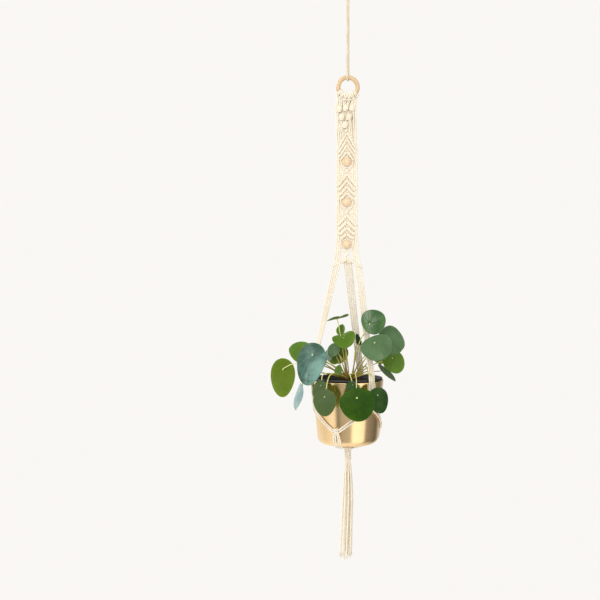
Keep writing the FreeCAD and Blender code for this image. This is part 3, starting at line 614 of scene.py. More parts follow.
def berry_knots():
    for row, places in BERRIES.items():
        shape = Shape()
        for number, (x, z) in enumerate(places):
            berry(shape, x, z, 1 if row == "upper" else 1.07, phase=1.1 * number)
        node = "berry_knot_lower" if row == "lower" else f"berry_knots_{row}"
        shape.cotton_piece(f"berries_{row}", "hanger", node)
    shape = Shape().cord(ball_line((-3.6, 0, -366.4), 2.8, 2.0, 1.6, 2, 0.6), 3.2)
    shape.cotton_piece("collar", "hanger", "collar_knot")


def ring_cords():
    """The strands from the lark's heads to the upper berries."""
    shape = Shape()
    for step, lean in enumerate(HEAD_LEANS):
        x, z = BERRIES["upper"][step // 2]
        for side in (-1, 1):
            place = (step % 2) * 2 + (side + 1) / 2 - 1.5
            start = on_ring(lean, 23.5, side * 1.72, -2.5)
            route = [start, on_ring(lean, 28.5, side * 1.72, -1.0), (x + place * 2.9, 0.6, z + 3.5)]
            shape.strand(route, CORD - 0.5, phase=step + side)
    shape.cotton_piece("ring_strands", "hanger", "ring_cords")


# ---- Leaf panels ----

PANELS = [
    {"apex": -373.2, "fall": 33, "edge_step": 7.4, "bead": -433, "crossing": -450, "band": 5.5},
    {"apex": -459.6, "fall": 23.5, "edge_step": 9.3, "bead": -518, "crossing": -536, "band": 7.3},
    {"apex": -545.4, "fall": 20, "edge_step": 9.8, "bead": -606, "crossing": -625, "band": 8.0},
]
ROWS, MIDDLE_STEP = 4, 13
SHOULDERS = {-1: [(-24.6, -323), (-21.2, -325), (-16.4, -344), (-12.6, -346)],
             1: [(15.8, -321), (11.8, -323), (6.4, -344), (2.8, -346)]}
SHOULDER_SHARES = (1, 0.76, 0.52, 0.28)


def hitch_row(panel, side, row):
    """Start near the middle and end at the edge of one diagonal row."""
    inner, outer = 3.5 + 0.3 * row, EDGE - 2 * row
    bottom = panel["apex"] - panel["fall"] - panel["edge_step"] * row
    return (Vector((MIDDLE + side * inner, 0, panel["apex"] - MIDDLE_STEP * row)),
            Vector((MIDDLE + side * outer, 0, bottom)))


def hitches(shape, start, end, width, phase=0.0):
    """A row of double half hitches: close loops round a core, each pair of loops a little apart."""
    run = end - start
    loop = CORD - 0.3
    reach, depth = (width - loop) / 2, (HITCH - loop) / 2 + 0.25
    turns = run.length / 2.3
    sideways = run.cross(Vector((0, 1, 0))).normalized()
    points = []
    for share, angle in winding(turns, COIL_STEPS, phase):
        along = share * run.length + 0.25 * math.sin(math.pi * turns * share) + 0.5 * math.cos(angle)
        points.append((start + run.normalized() * along + sideways * (reach * math.cos(angle))
                       + Vector((0, depth * math.sin(angle), 0))) * MM)
    shape.cord(np.array(points), loop, sides=9, groove=0.07)
    shape.cord(np.array([(start - run * 0.05) * MM, start.lerp(end, 0.5) * MM, (end + run * 0.04) * MM]),
               CORD + 1.2, groove=0.05)


def behind_panel(shape, number, side):
    """The cords that run down behind the rows and on to the next panel."""
    panel = PANELS[number - 1]
    for place, offset in enumerate((1.8, 5.3, 8.8, 12.3, 15.6)):
        share = (offset - 1.8) / 16
        x = MIDDLE + side * offset
        top = panel["apex"] - 2 - panel["fall"] * share
        foot = panel["apex"] - (ROWS - 1) * MIDDLE_STEP - 3 - 18 * share
        if offset < 8:
            foot = panel["bead"] + 12 - 0.25 * offset
        route = [(x, 2.2, top), (x, 2.4, foot)]
        if offset > 8 and number < len(PANELS):
            below = PANELS[number]["apex"] - PANELS[number]["fall"] * share
            around = MIDDLE + side * max(offset, 13.2)
            route += [(around, 3.0, panel["bead"] + 8), (around, 3.0, panel["bead"] - 6),
                      (x, 2.2, panel["bead"] - 17), (x, 1.2, below)]
        shape.strand(route, CORD + 0.2, phase=place)


def leaf_panel(number, panel):
    for side, name in ((-1, "left"), (1, "right")):
        shape = Shape()
        for row in range(ROWS):
            start, end = hitch_row(panel, side, row)
            start.x = MIDDLE + side * 1.4
            hitches(shape, start, end, panel["band"], phase=0.9 * row + side)
        behind_panel(shape, number, side)
        shape.cotton_piece(f"panel_{number}_{name}", "hanger", f"leaf_panel_{number}")

    eyes, cores = Shape(), Shape()
    bead, crossing = panel["bead"], panel["crossing"]
    over = [mm(MIDDLE + 12 * math.sin(math.radians(a)), 1.6, bead + 12 * math.cos(math.radians(a)))
            for a in range(-112, 113, 8)]
    eyes.cord(np.array(over), CORD - 0.3)
    if number < len(PANELS):
        for side in (-1, 1):
            for spread in (5.4, 9.2):
                route = [(MIDDLE + side * 3.4, 2.6, bead - 13), (MIDDLE + side * spread, 2.6, crossing + 1),
                         (MIDDLE + side * spread, 2.2, PANELS[number]["apex"] - 8)]
                eyes.strand(route, CORD - 0.3, phase=spread)
    for side in (-1, 1):
        end = hitch_row(panel, side, ROWS - 1)[1]
        route = [(end.x, 0, end.z + 2), (MIDDLE + side * 12.4, -0.4, bead - 3),
                 (MIDDLE + side * 7.6, -0.4, bead - 13), (MIDDLE + side * 0.6, -1.2 * side, crossing + 1),
                 (MIDDLE - side * 3.4, -1.0 * side, crossing - 6)]
        eyes.strand(route, CORD, phase=side)
        x = MIDDLE + side * 1.77
        cores.cord(np.array([mm(x, 0, bead + 13), mm(x, 0, bead - 13)]), CORD - 0.1)
    eyes.cotton_piece(f"eye_strands_{number}", "hanger", f"eye_cords_{number}")
    cores.cotton_piece(f"bead_strands_{number}", "hanger", f"bead_cords_{number}")
    tie = coil(mm(MIDDLE, 0, crossing + 3.2), mm(MIDDLE, 0, crossing - 3.2), 2.2, 2.5 * MM, 1.9 * MM,
               0.6 * MM)
    knot = Shape().cord(tie, 3.3)
    if number == len(PANELS):
        for x in (-5.2, -1.4, 2.2, 5.6):
            route = [(MIDDLE + 0.3 * x, 0.4, crossing - 1), (0.8 * x, 0.6, -633), (x + 0.6, 1.5, -645)]
            knot.strand(route, CORD - 0.3, phase=x)
    knot.cotton_piece(f"crossing_{number}", "hanger", f"crossing_knot_{number}")

    radius, bore, soft = 10, 3.9, 0.9
    profile = [(bore, -math.sqrt(radius ** 2 - bore ** 2) + soft)]
    low = math.asin((bore + soft) / radius)
    for k in range(33):
        angle = low + (math.pi - 2 * low) * k / 32
        profile.append((radius * math.sin(angle), -radius * math.cos(angle)))
    profile.append((bore, math.sqrt(radius ** 2 - bore ** 2) - soft))
    body = ("upper_bead", "middle_bead", "lower_bead")[number - 1]
    Shape().lathe([(r, z + bead) for r, z in profile], 64, (MIDDLE, 0)).piece(
        f"wooden_bead_{number}", body, "bead_wood", BEAD_WOOD, [f"bead_{number}"])


def shoulder_cords():
    shape = Shape()
    for side, starts in SHOULDERS.items():
        start, end = hitch_row(PANELS[0], side, 0)
        for (x, z), share in zip(starts, SHOULDER_SHARES):
            foot = start.lerp(end, share)
            knots = BERRIES["upper"] if z > -330 else BERRIES["middle"]
            knot_x, knot_z = min(knots, key=lambda place: abs(place[0] - x))
            route = [(knot_x + 0.3 * (x - knot_x), 1.6, knot_z), (x, 0.6, knot_z - 9),
                     (x + 0.4 * side, 0.2, z - 20), (foot.x, 0, foot.z)]
            if share == 1:
                route = [on_ring(side * 46 - 4, 24, 0, 1.5), (x + side, 1.6, -306), (x + side, 0.6, -332),
                         (foot.x, 0, foot.z)]
            shape.strand(route, CORD - 0.2, phase=x)
    for x in (-20.5, -16.6, -12.8, -9, -5.4, -1.8, 1.8, 5.4, 9.2, 12.9):
        start = (0.93 * x - 0.5, 2.6, -303)
        route = [start, (x, 4.4, -326), (x, 4.2, -352), (x, 1.8, -375 - 1.4 * abs(x - MIDDLE))]
        shape.strand(route, CORD + 0.3, phase=x)
    shape.cotton_piece("shoulder_strands", "hanger", "shoulder_cords")


def side_cords():
    flare_top, wings_z = -606, -646
    for side, name in ((-1, "left"), (1, "right")):
        shape = Shape()
        for upper, lower in zip(PANELS, PANELS[1:]):
            for inset in (-1.2, 2.4):
                x = MIDDLE + side * (EDGE - inset)
                route = [(x, 0, upper["apex"] - upper["fall"]), (x, 0, lower["apex"] - lower["fall"])]
                shape.strand(route, CORD, phase=inset)
        last = PANELS[-1]
        for inset, flare in ((-1.2, 6), (2.4, 4.4)):
            x = MIDDLE + side * (EDGE - inset)
            route = [(x, 0, last["apex"] - last["fall"]), (x, 0, flare_top), (x + side * flare, 0, wings_z)]
            shape.strand(route, CORD, phase=inset)
        for offset, foot, y in ((14.0, 17.6, 1.4), (12.6, 12.4, 3.4)):
            route = [(MIDDLE + side * offset, y - 1, -588), (MIDDLE + side * offset, y, -606),
                     (MIDDLE + side * foot, 1.0, -638 - 0.42 * foot)]
            shape.strand(route, CORD - 0.2, phase=offset)
        shape.cotton_piece(f"side_strands_{name}", "hanger", f"side_cords_{name}")


# ---- Wings, legs and cradle ----

WINGS = {"left": ((-3.4, 0, -638.2), (-30.6, 0, -650)), "right": ((3.6, 0, -638.2), (28.6, 0, -652.6))}
LEG_TURNS = {"left": 189, "right": 309, "back": 429}
LEG_TOPS = {
    "left": [(-31.8 + 4.6 * i, 2.4 - 1.6 * i, -655.2 + 2.0 * i) for i in range(4)],
    "right": [(14.6 + 4.6 * i, -2.4 + 1.6 * i, -649.4 - 2.65 * i) for i in range(4)],
    "back": [(6.8 - 4.6 * i, 4.4 + 0.4 * i, -644.6) for i in range(4)],
}
CRADLE_KNOTS = {"front": 249, "right": 9, "back": 129}
LEG_END = RIM_Z + 2.5
CORD_GAP = 3.8


def beside(turn, z, offset=0.0, lift=LIE):
    """A place beside the pot's wall, moved sideways along it by offset."""
    r = RIM_R - SLOPE * (RIM_Z - z) + lift
    return polar(r, turn + math.degrees(offset / r), z)


def wall_offset(i):
    """How far cord i of a group of four lies to the side of the group's middle."""
    return (i - 1.5) * CORD_GAP


def legs_and_cradle():
    """Each cord runs from a wing, over the rim and round the pot to a cradle knot. It is one line,
    cut at the rim: above the rim it rides no body, and below it rides the cradle."""
    for name, turn in LEG_TURNS.items():
        cradle = Shape()
        for i in range(4):
            offset = wall_offset(i)
            side = 1 if offset > 0 else -1
            height = 2.35 if abs(offset) > CORD_GAP else -2.35
            top, foot = Vector(LEG_TOPS[name][i]), Vector(beside(turn, LEG_END, offset, LIE + 0.3))
            outward = Vector(polar(1, turn, 0))
            above = foot.lerp(top, 0.07) + outward * 1.7
            route = [top + (top - foot).normalized() * 5, top.lerp(foot, 0.8) + outward * 0.8, above,
                     foot + outward * 0.4, beside(turn, RIM_Z - 0.5, offset, LIE + 0.1),
                     beside(turn, SPLIT_Z + height, offset)]
            for step in range(1, 6):
                share = step / 5
                z = SPLIT_Z + height + share * (CRADLE_Z - SPLIT_Z)
                route.append(beside(turn + side * 55 * share, z, offset * (1 - share), LIE + 0.5))
            line = evenly(smooth_line(route), STEP * CORD * MM)
            rings = cord_rings(line, CORD * MM, phase=1.7 * i)
            cut = int(np.argmax(line[:, 2] < LEG_END * MM)) + 1
            leg = Shape().tube(rings[:cut]).cotton_piece(f"leg_{name}_{i + 1}", None, f"leg_{name}")
            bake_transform(leg)
            cradle.tube(rings[cut - 1:])
        cradle.cotton_piece(f"cradle_{name}", "cradle", f"cradle_cords_{name}")


def wings():
    for name, (start, end) in WINGS.items():
        shape = Shape()
        hitches(shape, Vector(start), Vector(end), 6.4, phase=len(name))
        shape.cotton_piece(f"wing_hitches_{name}", "hanger", f"wing_{name}")


def cradle_knots():
    """A square knot round the four cords that meet on the wall, and those cords on under the pot."""
    for name, turn in CRADLE_KNOTS.items():
        top, foot = (Vector(beside(turn, CRADLE_Z + rise, 0, 3.9)) for rise in (5.4, -5.4))
        run, outward = (foot - top).normalized(), Vector(polar(1, turn, 0))
        sideways = run.cross(outward).normalized()
        knot = Shape()
        points = []
        for share, angle in winding(3, KNOT_STEPS):
            points.append((top.lerp(foot, share) + sideways * (4.4 * math.cos(angle))
                           + outward * (1.75 * math.sin(angle)) + run * (1.6 * math.cos(angle))) * MM)
        knot.cord(np.array(points), 3.5)
        knot.cotton_piece(f"knot_{name}", "cradle", f"cradle_knot_{name}")
        base = Shape()
        for i in range(4):
            fan = (i - 1.5) * 30
            corner_turn = turn + fan * 0.12
            corner_r, corner_z = BASE_R + LIE * 0.9, RIM_Z - POT_HEIGHT - LIE
            inner_r = 3.2 if i % 2 else 5.0
            aside = wall_offset(i) + (3 if i > 1 else 0)
            route = [beside(turn, CRADLE_Z + 4, wall_offset(i) * 0.6, LIE),
                     beside(turn, CRADLE_Z - 5, wall_offset(i) * 0.8, LIE),
                     beside(turn, -998, wall_offset(i) + (1.2 if i > 1 else 0), LIE),
                     beside(turn, -1011, aside, LIE - 0.8), polar(corner_r - 13, corner_turn, corner_z - 0.4),
                     polar(40, turn + fan * 0.4, -1025), polar(18, turn + fan, -1029.6),
                     polar(9, turn + fan, -1032.5), polar(inner_r, turn + fan, -1038),
                     polar(inner_r, turn + fan, -1044)]
            base.strand(route, CORD, phase=i)
        nodes = [f"base_cords_{name}"] + (["gathered_cords"] if name == "front" else [])
        base.cotton_piece(f"base_strands_{name}", "cradle", *nodes)


def wrap_and_tassel():
    turns = (WRAP_TOP - WRAP_BOTTOM) / (CORD - 0.1)
    line = coil(mm(0, 0, WRAP_TOP - 1.6), mm(0, 0, WRAP_BOTTOM + 1.6), turns - 1, 5.5 * MM, 5.5 * MM)
    Shape().cord(line, 3.4, sides=9).cotton_piece("gathering_coil", "cradle", "gathering_wrap")

    rng = random.Random(7)
    ends = Shape()
    top_z, end_z = -1065, -1257
    for k, turn in enumerate([20, 100, 215, 300] + [5 + 45 * k for k in range(8)]):
        inner = k < 4
        across = Vector(polar(1, turn, 0))
        top, spread = across * (2.55 if inner else 5.9), across * (4.2 if inner else 11.5)
        lean = Vector((-4.2, 0, 0))
        difference = 5 * math.sin(2.3 * k)
        route = [across * 2.8 + Vector((0, 0, top_z + 9)), top + Vector((0, 0, top_z)),
                 top * 1.15 + spread * 0.25 + Vector((0.6, 0, top_z - 62)),
                 top * 0.3 + spread * 0.75 + lean * 0.4 + Vector((0, 0, top_z - 124)),
                 spread + lean + Vector((0, 0, end_z + 5 + difference))]
        line = evenly(smooth_line(route), STEP * CORD * MM)
        shape = Shape().tube(cord_rings(line, (CORD - 0.2) * MM, phase=k))
        heading = Vector(line[-1] - line[-6]).normalized()
        for fibre in range(7):
            aside = Vector((rng.uniform(-1, 1), rng.uniform(-1, 1), 0)) * MM
            reach = rng.uniform(0.006, 0.013)
            start = Vector(line[-3]) + aside * 0.6
            fray = [start, start + heading * reach * 0.5 + aside, start + heading * reach + aside * 2.6]
            ends.cord(np.array(fray), 1.3, sides=6, taper=[1, 1, 0.3])
        strand = shape.cotton_piece(f"tassel_{k + 1}", None, "tassel")
        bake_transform(strand)
    ends.cotton_piece("tassel_frays", "tassel_bundle")


# ---- Pot ----


def rounded(before, corner, after, radius, steps):
    """Points of the arc that rounds a profile's corner."""
    a, b = (Vector(before) - Vector(corner)).normalized(), (Vector(after) - Vector(corner)).normalized()
    half = a.angle(b) / 2
    reach = radius / math.tan(half)
    start, end = Vector(corner) + a * reach, Vector(corner) + b * reach
    centre = Vector(corner) + (a + b).normalized() * (radius / math.sin(half))
    points = []
    for k in range(steps + 1):
        spoke = (start - centre).normalized().slerp((end - centre).normalized(), k / steps)
        points.append(tuple(centre + spoke * radius))
    return points


def brass_pot():
    base_z = RIM_Z - POT_HEIGHT
    outer_foot, outer_rim, inner_rim = (BASE_R, base_z), (RIM_R, RIM_Z), (RIM_R - POT_WALL, RIM_Z)
    inner_foot = (BASE_R - POT_WALL + SLOPE * POT_WALL, base_z + POT_WALL)
    profile = [(0.01, base_z)] + [(BASE_R * share, base_z) for share in (0.3, 0.6)]
    profile += rounded((0, base_z), outer_foot, outer_rim, POT_CORNER, 14)
    profile += [tuple(Vector(outer_foot).lerp(Vector(outer_rim), share)) for share in (0.35, 0.65, 0.96)]
    profile += rounded(outer_foot, outer_rim, inner_rim, 0.55, 5)
    profile += rounded(outer_rim, inner_rim, inner_foot, 0.55, 5)
    profile += rounded(inner_rim, inner_foot, (0, base_z + POT_WALL), POT_CORNER - POT_WALL, 14)
    profile += [(BASE_R * 0.5, base_z + POT_WALL), (0.01, base_z + POT_WALL)]
    Shape().lathe(profile, 144).piece("brass_pot", "cradle", "pot_brass", BRASS, ["pot"])


# ---- Plant ----

LINER_TOP, LINER_R, LINER_BASE_R, LINER_BASE, LINER_SKIN, LINER_LIP = -884, 72.5, 47, -1019.4, 1.4, 4
SOIL_Z = -893
CROWN = Vector((4, 0, SOIL_Z))


def nursery_pot():
    """Thin black pot with a folded lip."""
    lip_foot, inside = LINER_TOP - LINER_LIP, LINER_R - LINER_LIP
    profile = [(0.01, LINER_BASE), (LINER_BASE_R - 2, LINER_BASE), (LINER_BASE_R, LINER_BASE + 2),
               (inside - 1, lip_foot - 1), (inside + 0.4, lip_foot), (LINER_R - 0.5, lip_foot),
               (LINER_R, lip_foot + 0.5), (LINER_R, LINER_TOP - 0.6), (LINER_R - 0.6, LINER_TOP),
               (inside - LINER_SKIN + 0.6, LINER_TOP), (inside - LINER_SKIN, LINER_TOP - 0.6),
               (LINER_BASE_R - LINER_SKIN, LINER_BASE + LINER_SKIN), (0.01, LINER_BASE + LINER_SKIN)]
    Shape().lathe(profile, 96).piece("grow_pot", "plant", "nursery_plastic", PLASTIC, ["nursery_pot"])


def soil():
    """A crumbly surface: a disc of uneven rings, and loose crumbs on it."""
    shape = Shape()
    radius, rings, segments = 66, 30, 120
    profile = []
    for ring in range(rings + 1):
        reach = radius * (ring / rings)
        for k in range(segments):
            turn = 2 * math.pi * k / segments
            x, y = reach * math.cos(turn), reach * math.sin(turn)
            rough = noise.fractal(Vector((x, y, 0)) * 0.35, 0.9, 2.1, 3) * 1.6
            lift = noise.noise(Vector((x, y, 5)) * 0.04) * 2.5
            profile.append(tuple(mm(x, y, SOIL_Z - 0.8 + rough + lift)))
    rows = np.array(profile).reshape(rings + 1, segments, 3)
    rows[0] = rows[0].mean(axis=0)
    foot = rows[-1] * (0.96, 0.96, 1) - (0, 0, 0.02)
    shape.tube(np.concatenate([rows, foot[None]])[::-1])
    rng = random.Random(11)
    for _ in range(420):
        reach, turn = radius * math.sqrt(rng.random()) * 0.97, rng.uniform(0, 360)
        size = rng.uniform(0.7, 2.1)
        x, y, _ = polar(reach, turn, 0)
        crumb = []
        for level in (-0.9, -0.3, 0.4, 0.9):
            width = math.sqrt(1 - level * level) * size
            crumb.append([tuple(mm(x + width * rng.uniform(0.7, 1.2) * math.cos(a),
                                   y + width * rng.uniform(0.7, 1.2) * math.sin(a),
                                   SOIL_Z + size * level * 0.7 + 0.2)) for a in (0, 1.26, 2.5, 3.8, 5.0)])
        shape.tube(np.array(crumb))
    shape.piece("potting_mix_surface", "plant", "potting_soil", SOIL, ["soil"])


def crown():
    """The short woody stem with the scars of old leaves."""
    rings = []
    for level in range(13):
        share = level / 12
        radius = 8.4 - 3.4 * share + 0.7 * math.sin(level * 2.1)
        rings.append([tuple(mm(CROWN.x + radius * math.cos(a) * (1 + 0.08 * math.sin(3 * a + level)),
                               CROWN.y + radius * math.sin(a), SOIL_Z + 12.4 * share))
                      for a in directions(24)])
    Shape().tube(np.array(rings), np.linspace(0, 0.3, 13)).piece(
        "crown_stem", "plant", "plant_stalk", STALK, ["plant_stem"])


# Colour, pale colour, roughness, coat, glow, sheen and mottling, and for some the shine, quilting and
# side of the painted reflection.
LOOKS = {
    # gloss: its pale colour, on the side given by its last number, is a painted reflection.
    "gloss": ((0.006, 0.046, 0.020), (0.17, 0.36, 0.30), 0.32, 0.3, 0.04, 0.0, 0.3, 0.25, 1.6, 0.85),
    "back_lit": ((0.085, 0.140, 0.002), (0.14, 0.20, 0.005), 0.5, 0.0, 0.25, 0.0, 0.35),
    "fresh": ((0.075, 0.165, 0.008), (0.15, 0.25, 0.03), 0.42, 0.05, 0.2, 0.0, 0.35),
    "matt": ((0.058, 0.128, 0.042), (0.14, 0.24, 0.11), 0.46, 0.15, 0.1, 0.2, 0.35, 0.25, 0.35),
    "grey": ((0.056, 0.096, 0.026), (0.09, 0.14, 0.05), 0.5, 0.0, 0.1, 0.1, 0.3),
    "deep": ((0.014, 0.054, 0.0005), (0.05, 0.115, 0.002), 0.45, 0.0, 0.1, 0.0, 0.5, 0.12),
    "dark": ((0.008, 0.040, 0.001), (0.045, 0.105, 0.022), 0.42, 0.05, 0.06, 0.0, 0.7, 0.12),
    "bright": ((0.010, 0.062, 0.002), (0.07, 0.18, 0.04), 0.30, 0.6, 0.08, 0.0, 0.55, 0.25, 0.6),
    # silver: blue-grey colours paint the pale sheen of a leaf seen nearly edge-on, on top of the shader's own
    # sheen.
    "silver_painted_sheen": ((0.20, 0.31, 0.32), (0.45, 0.60, 0.63), 0.4, 0.4, 0.2, 0.2, 0.5, 0.3, 0.6),
    "underside": ((0.100, 0.150, 0.022), (0.18, 0.25, 0.07), 0.6, 0.0, 0.25, 0.05, 0.25),
}
SKINS = {name: leaf_skin(f"leaf_{name}", *look) for name, look in LOOKS.items()}

# Blade centre, length, width, which way its face and its tip point, the stalk's knees, skin and form.
# The form is (dome, fold, wave): how far the edge falls back, its sides lift, and the edge swings.
LEAVES = {
    "left": [
        ((-76, -46, -852), 90, 60, (-0.25, -1.0, 0.35), (-0.10, 0, -1), [(-28, -22, -858)],
         "gloss", (0.10, 0.04, 0.03)),
        ((-134, -30, -882), 80, 52, (0.20, 0.95, -0.10), (0.02, 0, -1),
         [(-40, -20, -858), (-108, -38, -849)], "back_lit", (0.10, 0, 0.03)),
        ((-99, 12, -832), 58, 46, (-0.30, -0.9, 0.30), (-0.9, 0, 0.4), [(-38, 8, -862)],
         "fresh", (0.08, 0, 0.03)),
        ((-102, -40, -920), 56, 30, (-0.85, -0.5, 0.25), (0.05, 0, -1),
         [(-52, -31, -870), (-92, -44, -870)], "silver_painted_sheen", (0.12, 0, 0.05)),
        ((-58, -70, -901), 38, 32, (-0.45, -0.85, 0.4), (-0.3, 0, -1),
         [(-30, -36, -872), (-54, -66, -870)], "grey", (0.08, 0, 0.04)),
    ],
    "front": [
        ((-46, -94, -925), 54, 46, (-0.12, -1.0, 0.12), (0.05, 0, -1),
         [(-18, -42, -874), (-38, -86, -866)], "grey", (0.10, 0, 0.03)),
        ((20, -104, -928), 66, 70, (0.04, -1.0, 0.16), (0.15, 0, -1),
         [(8, -48, -874), (17, -90, -864)], "deep", (0.09, 0, 0.02)),
        ((62, -84, -922), 52, 42, (0.30, -0.95, 0.12), (0.2, 0, -1),
         [(28, -52, -874), (50, -86, -866)], "dark", (0.10, 0, 0.03)),
        ((8, -88, -895), 24, 25, (-0.1, -0.9, 0.3), (-0.3, 0, -1), [(2, -42, -874), (4, -81, -868)],
         "dark", (0.08, 0, 0.03)),
    ],
    "top": [
        ((-21, -37, -758), 38, 48, (-0.28, 0.14, 1.0), (0.2, -1, 0), [(-12, -14, -815)],
         "back_lit", (0.02, 0.04, 0.03)),
        ((-13, -2, -785), 26, 20, (-0.45, -0.8, 0.4), (-0.2, 0, 1), [(-4, -2, -830)],
         "fresh", (0, 0.6, 0.02)),
        ((-7, -28, -806), 40, 48, (-0.1, -0.75, 0.65), (0.3, 0, -1), [(0, -14, -850)],
         "fresh", (0.06, 0.45, 0.05)),
        ((-38, -4, -833), 36, 24, (-0.8, -0.6, 0.2), (0, 0, -1), [(-16, -2, -858)],
         "silver_painted_sheen", (0.08, 0, 0.04)),
        ((-30, -18, -826), 30, 26, (-0.3, -0.9, 0.3), (-0.4, 0, -1), [(-10, -8, -855)],
         "matt", (0.08, 0, 0.04)),
        ((-20, -26, -868), 24, 15, (-0.3, -0.9, 0.3), (0, 0, 1), [(-8, -16, -880)],
         "fresh", (0.05, 0.2, 0.03)),
    ],
    "right": [
        ((53, -50, -765), 50, 52, (-0.1, -1.0, 0.18), (0.8, 0, 0.5),
         [(16, -22, -838), (26, -46, -800)], "bright", (0.10, 0, 0.03)),
        ((59, -72, -817), 56, 66, (0.05, -0.9, 0.50), (0.4, 0, -1), [(51, -32, -840)],
         "matt", (0.09, 0, 0.05)),
        ((90, -30, -806), 60, 64, (0.35, -0.9, 0.35), (0.8, 0, -0.5), [(38, -4, -840)],
         "matt", (0.10, 0, 0.04)),
        ((98, -4, -853), 48, 46, (0.25, -0.95, 0.15), (0.5, 0, -1), [(40, 2, -862)],
         "fresh", (0.08, 0, 0.04)),
        ((81, -22, -873), 50, 34, (0.55, -0.25, 0.62), (0.62, -0.1, -0.75), [(36, -12, -869)],
         "grey", (0.04, 0.1, 0.02)),
        ((22, 12, -806), 26, 18, (0.7, -0.6, 0.3), (0.1, 0, 1), [(14, 6, -845)],
         "dark", (0.06, 0.1, 0.03)),
    ],
    "rear": [
        ((-34, 94, -934), 60, 56, (-0.2, 1.0, 0.2), (0, 0, -1), [(-14, 44, -872), (-28, 84, -866)],
         "deep", (0.09, 0, 0.03)),
        ((48, 92, -926), 62, 56, (0.1, 1.0, 0.25), (0.1, 0, -1), [(26, 40, -872), (44, 80, -864)],
         "bright", (0.09, 0, 0.03)),
        ((-72, 54, -862), 60, 54, (-0.6, 0.75, 0.5), (-0.4, 0.3, -1), [(-28, 22, -860)],
         "matt", (0.10, 0, 0.04)),
        ((66, 56, -836), 60, 56, (0.45, 0.8, 0.5), (0.3, 0.3, -1), [(24, 22, -850)],
         "bright", (0.09, 0, 0.04)),
        ((-24, 66, -842), 54, 50, (-0.1, 0.8, 0.6), (0, 0.5, -1), [(-6, 26, -854)],
         "deep", (0.10, 0, 0.04)),
    ],
}
ATTACH_SHARE = 0.22
CROWN_SPREAD = 7
LEAF_RINGS, LEAF_SEGMENTS = 16, 72


def leaf_axes(face, tip):
    """Unit vectors across the blade, along it to the tip, and out of its upper face."""
    up = Vector(face).normalized()
    along = Vector(tip)
    along = (along - up * along.dot(up)).normalized()
    return along.cross(up), along, up


def blade_point(length, width, form, turn, reach, phase):
    """Across, along and up for a point of the blade. reach runs from the stalk's spot to the edge."""
    dome, fold, wave = form
    edge_x = width / 2 * math.sin(turn) * (1 - 0.16 * math.cos(turn))
    edge_y = length / 2 * math.cos(turn)
    x, y = edge_x * reach, -ATTACH_SHARE * length * (1 - reach) + edge_y * reach
    up = dome * width * (0.35 - (2 * x / width) ** 2 * 0.55 - (2 * y / length) ** 2 * 0.45)
    up += fold * abs(x) * 0.8 + wave * width * reach ** 2 * math.sin(2.6 * turn + phase)
    up -= 0.018 * width * math.exp(-(reach / 0.16) ** 2)
    vein = max(0.0, math.cos(LEAF_VEINS * turn)) ** 12
    if 0 < reach < 0.95:
        up -= 0.30 * vein * math.sin(math.pi * min(1, reach * 1.05)) ** 0.7
    return x, y, up


def leaf(group, number, leaf_row):
    """A blade with a top, an underside and a thin rim. Returns where its stalk meets it, in
    millimetres, and which way its face points."""
    centre, length, width, face, tip, _, skin, form = leaf_row
    phase = 1.3 * number
    across, along, up = leaf_axes(face, tip)
    shape = Shape()

    def place(turn, reach, below):
        x, y, lift = blade_point(length, width, form, turn, reach, phase)
        return Vector(centre) + across * x + along * y + up * (lift - below)

    first = {}
    for layer in (0, 1):
        first[layer] = len(shape.vertices)
        for ring in range(LEAF_RINGS + 1):
            reach = (ring / LEAF_RINGS) ** 0.85
            below = layer * (1.1 - 0.75 * reach ** 4)
            for k in range(LEAF_SEGMENTS):
                turn = 2 * math.pi * k / LEAF_SEGMENTS
                shape.vertices.append(tuple(place(turn, reach, below) * MM))
    for layer in (0, 1):
        for ring in range(LEAF_RINGS):
            low, high = (ring / LEAF_RINGS) ** 0.85, ((ring + 1) / LEAF_RINGS) ** 0.85
            for k in range(LEAF_SEGMENTS):
                after = (k + 1) % LEAF_SEGMENTS
                a, b = first[layer] + ring * LEAF_SEGMENTS, first[layer] + (ring + 1) * LEAF_SEGMENTS
                left, right = k / LEAF_SEGMENTS, (k + 1) / LEAF_SEGMENTS
                corners = [a + k, a + after, b + after, b + k]
                uvs = [(left, low), (right, low), (right, high), (left, high)]
                if layer == 0:
                    corners, uvs = corners[::-1], uvs[::-1]
                shape.add_face(tuple(corners), uvs, layer)
    rim_top, rim_low = (first[layer] + LEAF_RINGS * LEAF_SEGMENTS for layer in (0, 1))
    for k in range(LEAF_SEGMENTS):
        after = (k + 1) % LEAF_SEGMENTS
        shape.add_face((rim_top + k, rim_top + after, rim_low + after, rim_low + k),
                       [(k / LEAF_SEGMENTS, 1.0)] * 4, 1)
    under = skin if skin == "back_lit" else "underside"
    shape.piece(f"leaf_{group}_{number}", "plant", "plant_leaf", [SKINS[skin], SKINS[under]],
                [f"leaf_blades_{group}"])
    return place(0, 0, 0.8), up


def plant():
    nursery_pot()
    soil()
    crown()
    number = 0
    for group, rows in LEAVES.items():
        for row in rows:
            number += 1
            spot, up = leaf(group, number, row)
            knees = row[5]
            heading = Vector((knees[0][0] - CROWN.x, knees[0][1] - CROWN.y, 0)).normalized()
            start = CROWN + heading * CROWN_SPREAD + Vector((0, 0, 4))
            root = CROWN + heading * 4 + Vector((0, 0, 1))
            route = [root, start, *knees, spot - up * 7, spot]
            line = evenly(smooth_line(route), 1.6 * MM)
            rings = cord_rings(line, 2.9 * MM, sides=10, groove=0.07, taper=[1.3, 1.05, 0.9, 0.8, 0.72])
            Shape().tube(rings, np.linspace(0, 1, len(line))).piece(
                f"stalk_{number}", "plant", "plant_stalk", STALK, ["leaf_stalks"])


# ---- Stage, lights and camera ----

FLOOR_Z = -2.1


